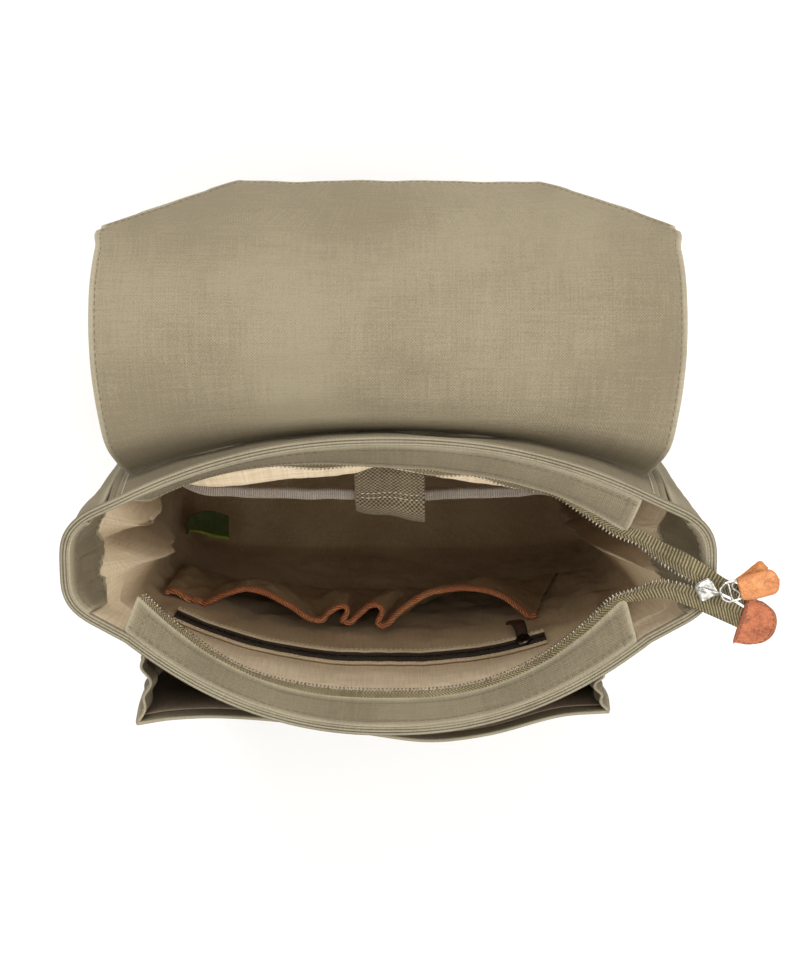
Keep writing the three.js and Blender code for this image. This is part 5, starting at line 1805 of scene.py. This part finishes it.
@dataclass(frozen=True)
class Flap:
    """The thrown-back flap: sewn to the back wall, arching up and over and then falling behind the bag."""

    width: float = 0.326
    reach: float = 0.1372
    fall: float = 0.066
    cloth: float = 0.003
    seam: float = 0.356
    rows: Table = Table(
        (0.0, 0.08, 0.16, 0.27, 0.39, 0.5, 0.61, 0.71, 0.8, 0.9, 1.0),
        {
            "out": (0.0, 0.05, 0.13, 0.25, 0.39, 0.53, 0.65, 0.75, 0.83, 0.92, 1.0),
            "up": (0.0, 0.29, 0.36, 0.39, 0.4, 0.35, 0.19, -0.03, -0.28, -0.6, -0.98),
            "half": (0.9, 0.955, 0.98, 0.995, 1.0, 1.0, 1.0, 0.995, 0.985, 0.76, 0.535),
            "free": (0.0, 0.45, 0.8, 1.0, 1.0, 1.0, 1.0, 1.0, 1.0, 1.0, 1.0),
        },
    )

    def face(self) -> Array:
        """The flap's upper face. Half widths run straight between rows past the chamfers' start.

        Added to the table's form are a shallow hollow in the free edge, long soft waves, and a pressed groove at the
        stitch line, a bell of 0.35 mm at 2.7 mm from the border.
        """
        at = np.concatenate([graded(64, 0.6) * 0.8, 0.8 + 0.2 * np.linspace(0, 1, 44)[1:]])[:, None]
        c = (graded(136, 0.7) * 2 - 1)[None, :]
        smooth_half = self.rows.value("half", at)
        straight = np.interp(at, self.rows.at, self.rows.columns["half"])
        half = np.where(at > 0.78, straight, smooth_half)
        x = c * half * self.width / 2
        seam = BAG.at(Side.BACK, np.clip(x, -BAG.width / 2, BAG.width / 2), self.seam)[..., 1]
        middle = BAG.at(Side.BACK, 0.0, self.seam)[..., 1]
        free = self.rows.value("free", at)
        out = self.rows.value("out", at)
        y = lerp(seam, middle, free) + BAG.sewn + self.reach * out
        z = self.seam + self.fall * self.rows.value("up", at)
        hollow = 0.0022 * (1 - c**2) * smooth(0.85, 1.0, at)
        y = y - hollow * 0.2
        z = z + hollow
        grid = stack(x, y, z)
        calm = 0.0011 * ripple(x, at * 0.2, 0.13, 71, 1.5) + 0.00035 * ripple(x, at * 0.2, 0.035, 72)
        uv = measure(grid)
        near = np.minimum(uv[..., 1].max() - uv[..., 1], (1 - np.abs(c)) * half * self.width / 2)
        groove = 0.00035 * hump(near, 0.0028, 0.0009)
        roll = 0.0006 * smooth(0.0015, 0.0, near)
        return moved(grid, (calm * smooth(0.02, 0.12, at) - groove - roll) * facing(grid, 2))

    def build(self) -> None:
        """Makes the flap's facing layer, its outer layer and the line of stitches round it."""
        face = self.face()
        sign = facing(face, 2)
        upper = dress(make("flap_facing_cloth", thick(face, 0.0014 * sign, 0.0024)), UNDER, "flap")
        under_face = moved(face, -0.0015 * sign)
        ring = under_face.copy()
        under = dress(make("flap_outer_canvas", thick(ring, 0.0015 * sign, 0.003)), OUTER)
        path = self.inside(face, 0.0029)
        lifted = path + UP * 0.00005
        dress(sew("flap_stitches", [Seam(lifted, UP, 0.0041, 0.0031, 0.0008)]), OLIVE_THREAD)

    def inside(self, face: Array, distance: float) -> Array:
        """A line on the face a set distance in from its sides and free edge, from seam to seam."""
        rows, columns = face.shape[:2]
        down = np.linalg.norm(np.diff(face[:, columns // 2], axis=0), axis=-1)
        v = np.concatenate([[0], np.cumsum(down)])
        last = int(np.searchsorted(v, v[-1] - distance))
        index = np.arange(6, last + 1)
        across = np.abs(face[:, :, 0])
        half = across[:, -1]
        slope = np.gradient(half, v)
        need = distance * np.sqrt(1 + slope**2)
        left = np.array([np.argmin(np.abs(across[i, : columns // 2] - (half[i] - need[i]))) for i in index])
        lefts, rights = face[index, left], face[index, columns - 1 - left]
        bottom = face[last, left[-1] : columns - left[-1]]
        return np.concatenate([lefts, bottom[1:-1], rights[::-1]])


@dataclass(frozen=True)
class FrontPocket:
    """The bellows pocket on the front wall, lined in taupe, its rim standing open."""

    width: float = 0.290
    shift: float = -0.009
    top: float = 0.374
    bottom: float = 0.030
    depth: float = 0.030
    cloth: float = 0.002
    fold: float = 0.009
    rows: Table = Table(
        (0.0, 0.12, 0.35, 0.6, 0.82, 0.94, 1.0),
        {
            "out": (0.3, 0.45, 0.6, 0.6, 0.5, 0.3, 0.0),
            "half": (0.93, 0.95, 0.96, 0.97, 0.97, 0.95, 0.93),
            "free": (0.9, 0.9, 0.85, 0.7, 0.5, 0.25, 0.0),
        },
    )

    rim_x: tuple[float, ...] = (-0.1434, -0.125, -0.0964, -0.0507, -0.0107, 0.0237, 0.0581, 0.098, 0.1249)
    rim_y: tuple[float, ...] = (-0.0974, -0.0944, -0.0932, -0.0968, -0.1034, -0.1076, -0.1034, -0.0925, -0.0902)

    def face(self, at: Array, s: Array, deeper: float = 0.0) -> Array:
        """The pocket's front: its rim follows the line that it has sprung to.

        Below, it stands out from the bag's front by its table, and less towards its sides, by 1 - |s|^4 / 2.
        """
        z = lerp(self.top, self.bottom, at)
        x = self.shift + s * self.rows.value("half", at) * self.width / 2
        behind = BAG.at(Side.FRONT, x, z)[..., 1]
        middle = BAG.at(Side.FRONT, 0.0, z)[..., 1]
        rounded = lerp(behind, middle, self.rows.value("free", at))
        out = self.depth * self.rows.value("out", at) * (1 - 0.5 * np.abs(s) ** 4) + self.cloth + BAG.sewn
        wave = 0.0016 * ripple(x, z, 0.09, 81, 1.4) * smooth(0, 0.05, at) * smooth(1.0, 0.9, at)
        plain = np.minimum(rounded, behind) - out
        line = Table(self.rim_x, {"y": self.rim_y}).value("y", x)
        return stack(x, lerp(plain, line, smooth(0.3, 0.0, at)) + deeper + wave * 0.5, z)

    def side(self, sign: int) -> Array:
        """A gusset: from the pocket's corner over an outward fold to the bag's front, gathered in small ruffles."""
        at = np.linspace(0, 0.97, 100)[:, None]
        corner = self.face(at, np.full(at.shape, float(sign)))
        inner = corner + stack(0.0, self.cloth + BAG.gap, 0.0)
        seam = BAG.at(Side.FRONT, inner[..., 0] * 1.02, inner[..., 2], -BAG.sewn)
        v = np.linspace(0, 1, 32)[None, :, None]
        grid = lerp(inner, seam, v)
        bow = self.fold * np.sin(math.pi * v[..., 0])
        ruffle = 0.0024 * np.sin(v[..., 0] * 17 + 2 * at) + 0.0022 * ripple(at * 0.3, v[..., 0] * 0.04, 0.025, 5)
        grid[..., 0] -= sign * (bow + ruffle * np.sin(math.pi * v[..., 0]))
        return grid

    def build(self) -> None:
        """Makes the front, its lining, the gussets, the turned rim and the stitches."""
        at = np.linspace(0, 1, 90)[:, None]
        s = np.linspace(-1, 1, 131)[None, :]
        at, s = np.broadcast_arrays(at, s)
        face = self.face(at, s)
        sign = -facing(face, 1)
        dress(make("pocket_front_canvas", thick(face, self.cloth * sign, 0.0025)), OUTER, "pocket_front")
        lining = face[2:-6, 2:-2] + stack(0.0, self.cloth + 0.0004, -0.0015)
        dress(make("pocket_lining_cloth", thick(lining, 0.0008 * sign, 0.0)), TAUPE)
        rim = face[0].copy()
        rim[:, 1] += self.cloth / 2
        rim[:, 2] -= 0.0004
        tube = sweep(rim, UP, circle(self.cloth + 0.0004, 0.0024, 18, 2.6))
        dress(make("pocket_rim_hem", capped(tube)), RIM_CLOTH)
        seams = [Seam(moved(face, 0.0002 * sign)[2], np.array([0, -1.0, 0.2]), 0.004, 0.0028, 0.0006)]
        seams.append(Seam(lining[3] + stack(0.0, 0.0002, 0.0), np.array([0, 1.0, 0.4]), 0.0045, 0.003, 0.0006))
        for end, name in ((-1, "left"), (1, "right")):
            grid = self.side(end)
            turn = facing(grid, 0) * end
            dress(make(f"pocket_bellows_{name}", thick(grid, 0.0016 * turn, 0.002)), OUTER, f"pocket_gusset_{name}")
            seams.append(Seam(moved(grid, 0.0002 * turn)[2, 2:-2], UP, 0.0036, 0.0024, 0.0006))
        dress(sew("pocket_stitches", seams), PALE_THREAD)


@dataclass(frozen=True)
class Harness:
    """The shoulder straps, their lower webbing and buckles, and the grab handle, behind the bag."""

    width: float = 0.058
    padding: float = 0.009
    reach: float = 0.036
    top: float = 0.316
    bottom: float = 0.112
    webbing: float = 0.025
    webbing_cloth: float = 0.0018
    foot: float = 0.030
    buckle_width: float = 0.034
    buckle_height: float = 0.018
    buckle: float = 0.003
    handle_span: float = 0.096
    handle_reach: float = 0.024
    handle_top: float = 0.346
    handle_width: float = 0.022
    handle: float = 0.003
    rows: Table = Table(
        (0.0, 0.1, 0.25, 0.45, 0.65, 0.85, 1.0),
        {"out": (0.0, 0.42, 0.85, 1.0, 0.8, 0.3, 0.0), "x": (0.28, 0.29, 0.32, 0.38, 0.46, 0.56, 0.62)},
    )

    def behind(self, x: Array, z: Array, out: Array | float) -> Array:
        """The back wall's surface moved out behind it."""
        return BAG.at(Side.BACK, x, z) + stack(0.0, out, 0.0)

    def pad(self, sign: int, lift: float, shrink: float) -> Array:
        """One face of a shoulder strap."""
        at = np.linspace(0, 1, 120)[:, None]
        w = np.linspace(-0.5, 0.5, 41)[None, :]
        z = lerp(self.top, self.bottom, at)
        x = sign * self.rows.value("x", at) * BAG.width / 2 + self.width * (1 - shrink) * w
        at, w = np.broadcast_arrays(at, w)
        return self.behind(x, z, BAG.sewn + self.reach * self.rows.value("out", at) + lift)

    def strap(self, sign: int) -> bpy.types.Object:
        """A padded strap: a form a little thinner than its pad, swelled by simulation."""
        under, over = self.pad(sign, 0.0012, 0.06), self.pad(sign, self.padding - 0.0012, 0.06)
        name = "left" if sign < 0 else "right"
        obj = make(f"shoulder_pad_{name}", slab(over, under, 0.0018, 0.0))
        inflate(obj, 0.004, 0.0014)
        return flat_map(obj, 0, 2)

    def build(self) -> None:
        """Makes both straps with their bindings, the webbing, the buckles and the handle."""
        seams = []
        for sign, name in ((-1, "left"), (1, "right")):
            pad = dress(self.strap(sign), OUTER, f"shoulder_strap_{name}")
            middle = (self.pad(sign, 0.0, 0.0) + self.pad(sign, self.padding, 0.0)) / 2
            for edge, side in ((0, "inner" if sign > 0 else "outer"), (-1, "outer" if sign > 0 else "inner")):
                tube = sweep(middle[2:-2, edge], BACKWARD, circle(0.0030, 0.0064, 16, 2.8))
                dress(make(f"strap_binding_{name}_{side}", capped(tube)), GREY)
            foot_x = self.rows.columns["x"][-1]
            t, w = np.linspace(0, 1, 60)[:, None], np.linspace(-0.5, 0.5, 24)[None, :]
            t, w = np.broadcast_arrays(t, w)
            x = sign * lerp(foot_x, 0.84, t) * BAG.width / 2 + self.webbing * w
            z = lerp(self.bottom - self.webbing_cloth, self.foot, t)
            face = self.behind(x, z, BAG.sewn + self.webbing_cloth)
            turn = facing(face, 1)
            web = make(f"strap_web_{name}", thick(face, self.webbing_cloth * turn, 0.0))
            dress(web, WEBBING, f"strap_webbing_{name}")
            seams.append(Seam(moved(face, 0.0002 * turn)[56, 2:-2], BACKWARD, 0.003, 0.002, 0.0006))
            dress(self.slide(sign, name), BLACK_PLASTIC, f"strap_buckle_{name}")
        t, w = np.linspace(-1, 1, 121)[None, :], np.linspace(0, 1, 24)[:, None]
        t, w = np.broadcast_arrays(t, w)
        out = BAG.sewn + self.handle_reach * (1 - t * t) ** 1.2 + self.handle
        z = self.handle_top - self.handle_width * w
        face = self.behind(self.handle_span / 2 * t, z, out + 0.0006 * np.sin(math.pi * w))
        turn = facing(face, 1)
        dress(make("grab_handle_canvas", thick(face, self.handle * turn, 0.002)), OUTER, "grab_handle")
        lifted = moved(face, 0.0002 * turn)
        seams += [Seam(lifted[k], BACKWARD, 0.004, 0.0028, 0.0006) for k in (3, -4)]
        dress(sew("harness_stitches", seams), PALE_THREAD)

    def slide(self, sign: int, name: str) -> bpy.types.Object:
        """A ladder-lock: a rounded frame with one bar across, all of flattened round bar."""
        x = sign * (self.rows.columns["x"][-1] + 0.02) * BAG.width / 2
        z = self.bottom - self.buckle_height / 2 - self.buckle
        out = 2 * BAG.sewn + self.webbing_cloth
        seat = self.behind(abs(x) - self.buckle_width / 2, z, out)[..., 1] + self.buckle / 2
        angle = np.linspace(0, math.tau, 97)
        power = 0.4
        cx = self.buckle_width / 2 * 0.92 * np.sign(np.cos(angle)) * np.abs(np.cos(angle)) ** power
        cz = self.buckle_height / 2 * 0.86 * np.sign(np.sin(angle)) * np.abs(np.sin(angle)) ** power
        loop = stack(x + cx, float(seat), z + cz)
        tube = sweep(np.concatenate([loop[-2:-1], loop, loop[1:2]]), BACKWARD, circle(0.003, 0.003, 12, 2.6))
        tube = tube[1:-1]
        tube[-1] = tube[0]
        t = np.linspace(-1, 1, 20)
        bar = stack(x + t * self.buckle_width * 0.45, float(seat), z)
        patches = [Patch(tube, measure(tube))] + capped(sweep(bar, BACKWARD, circle(0.0032, 0.0022, 12, 2.4)))
        return make(f"buckle_ladder_{name}", patches)


# --------------------------------------------------------------------------------------------------------------
# Studio
# --------------------------------------------------------------------------------------------------------------


@dataclass(frozen=True)
class Studio:
    """A white paper sweep under large soft lights, and the camera at the photograph's angle."""

    camera: tuple[float, float, float] = (0.00654, 0.27495, 1.47596)
    tilt: float = -12.0
    lens: float = 74.3

    def build(self) -> None:
        """Makes the floor, the lights, the world and the camera."""
        grid = np.linspace(-3, 3, 9)
        x, y = np.meshgrid(grid, grid)
        floor = make("paper_floor", [Patch(stack(x, y, -0.0002), stack(x, y, 0.0)[..., :2])])
        floor.data.materials.append(WHITE_PAPER.material())
        self.light("overhead_softbox", (0.2, 0.2, 2.2), 1.6, 17.0)
        self.light("front_softbox", (0.4, -1.7, 1.7), 1.5, 24.0)
        self.light("rear_softbox", (-0.1, 1.9, 1.6), 1.4, 38.0)
        self.light("right_softbox", (1.9, 0.2, 1.5), 1.3, 17.0)
        self.light("left_softbox", (-1.9, 0.1, 1.6), 1.3, 12.0)
        world = bpy.data.worlds.new("white_room")
        world.use_nodes = True
        background = world.node_tree.nodes["Background"]
        background.inputs["Color"].default_value = (1.0, 0.99, 0.978, 1.0)
        background.inputs["Strength"].default_value = 0.35
        bpy.context.scene.world = world
        bpy.context.scene.view_settings.view_transform = "Standard"
        camera = bpy.data.cameras.new("camera")
        camera.lens, camera.sensor_width, camera.clip_start = self.lens, 36.0, 0.05
        eye = bpy.data.objects.new("camera", camera)
        eye.location = self.camera
        eye.rotation_euler = (math.radians(self.tilt), 0.0, 0.0)
        bpy.context.scene.collection.objects.link(eye)
        bpy.context.scene.camera = eye

    def light(self, name: str, place: tuple[float, float, float], size: float, power: float) -> None:
        """A square soft light aimed at the bag's mouth."""
        lamp = bpy.data.lights.new(name, "AREA")
        lamp.size, lamp.energy = size, power
        obj = bpy.data.objects.new(name, lamp)
        obj.location = place
        aim = Vector((0.0, 0.0, 0.35)) - Vector(place)
        obj.rotation_euler = aim.to_track_quat("-Z", "Y").to_euler()
        bpy.context.scene.collection.objects.link(obj)


def main() -> None:
    """Builds the studio and every sub-assembly in order."""
    logging.basicConfig(level=logging.INFO, format="%(message)s")
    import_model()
    Studio().build()
    for assembly in (
        Walls(),
        Rim(),
        Lining(),
        Facings(),
        ZipMouth(),
        ZipPull(),
        Sleeve(),
        Organiser(),
        InnerZip(),
        Label(),
        Flap(),
        FrontPocket(),
        Harness(),
    ):
        LOG.info("building %s", type(assembly).__name__)
        assembly.build()


if __name__ == "__main__":
    main()
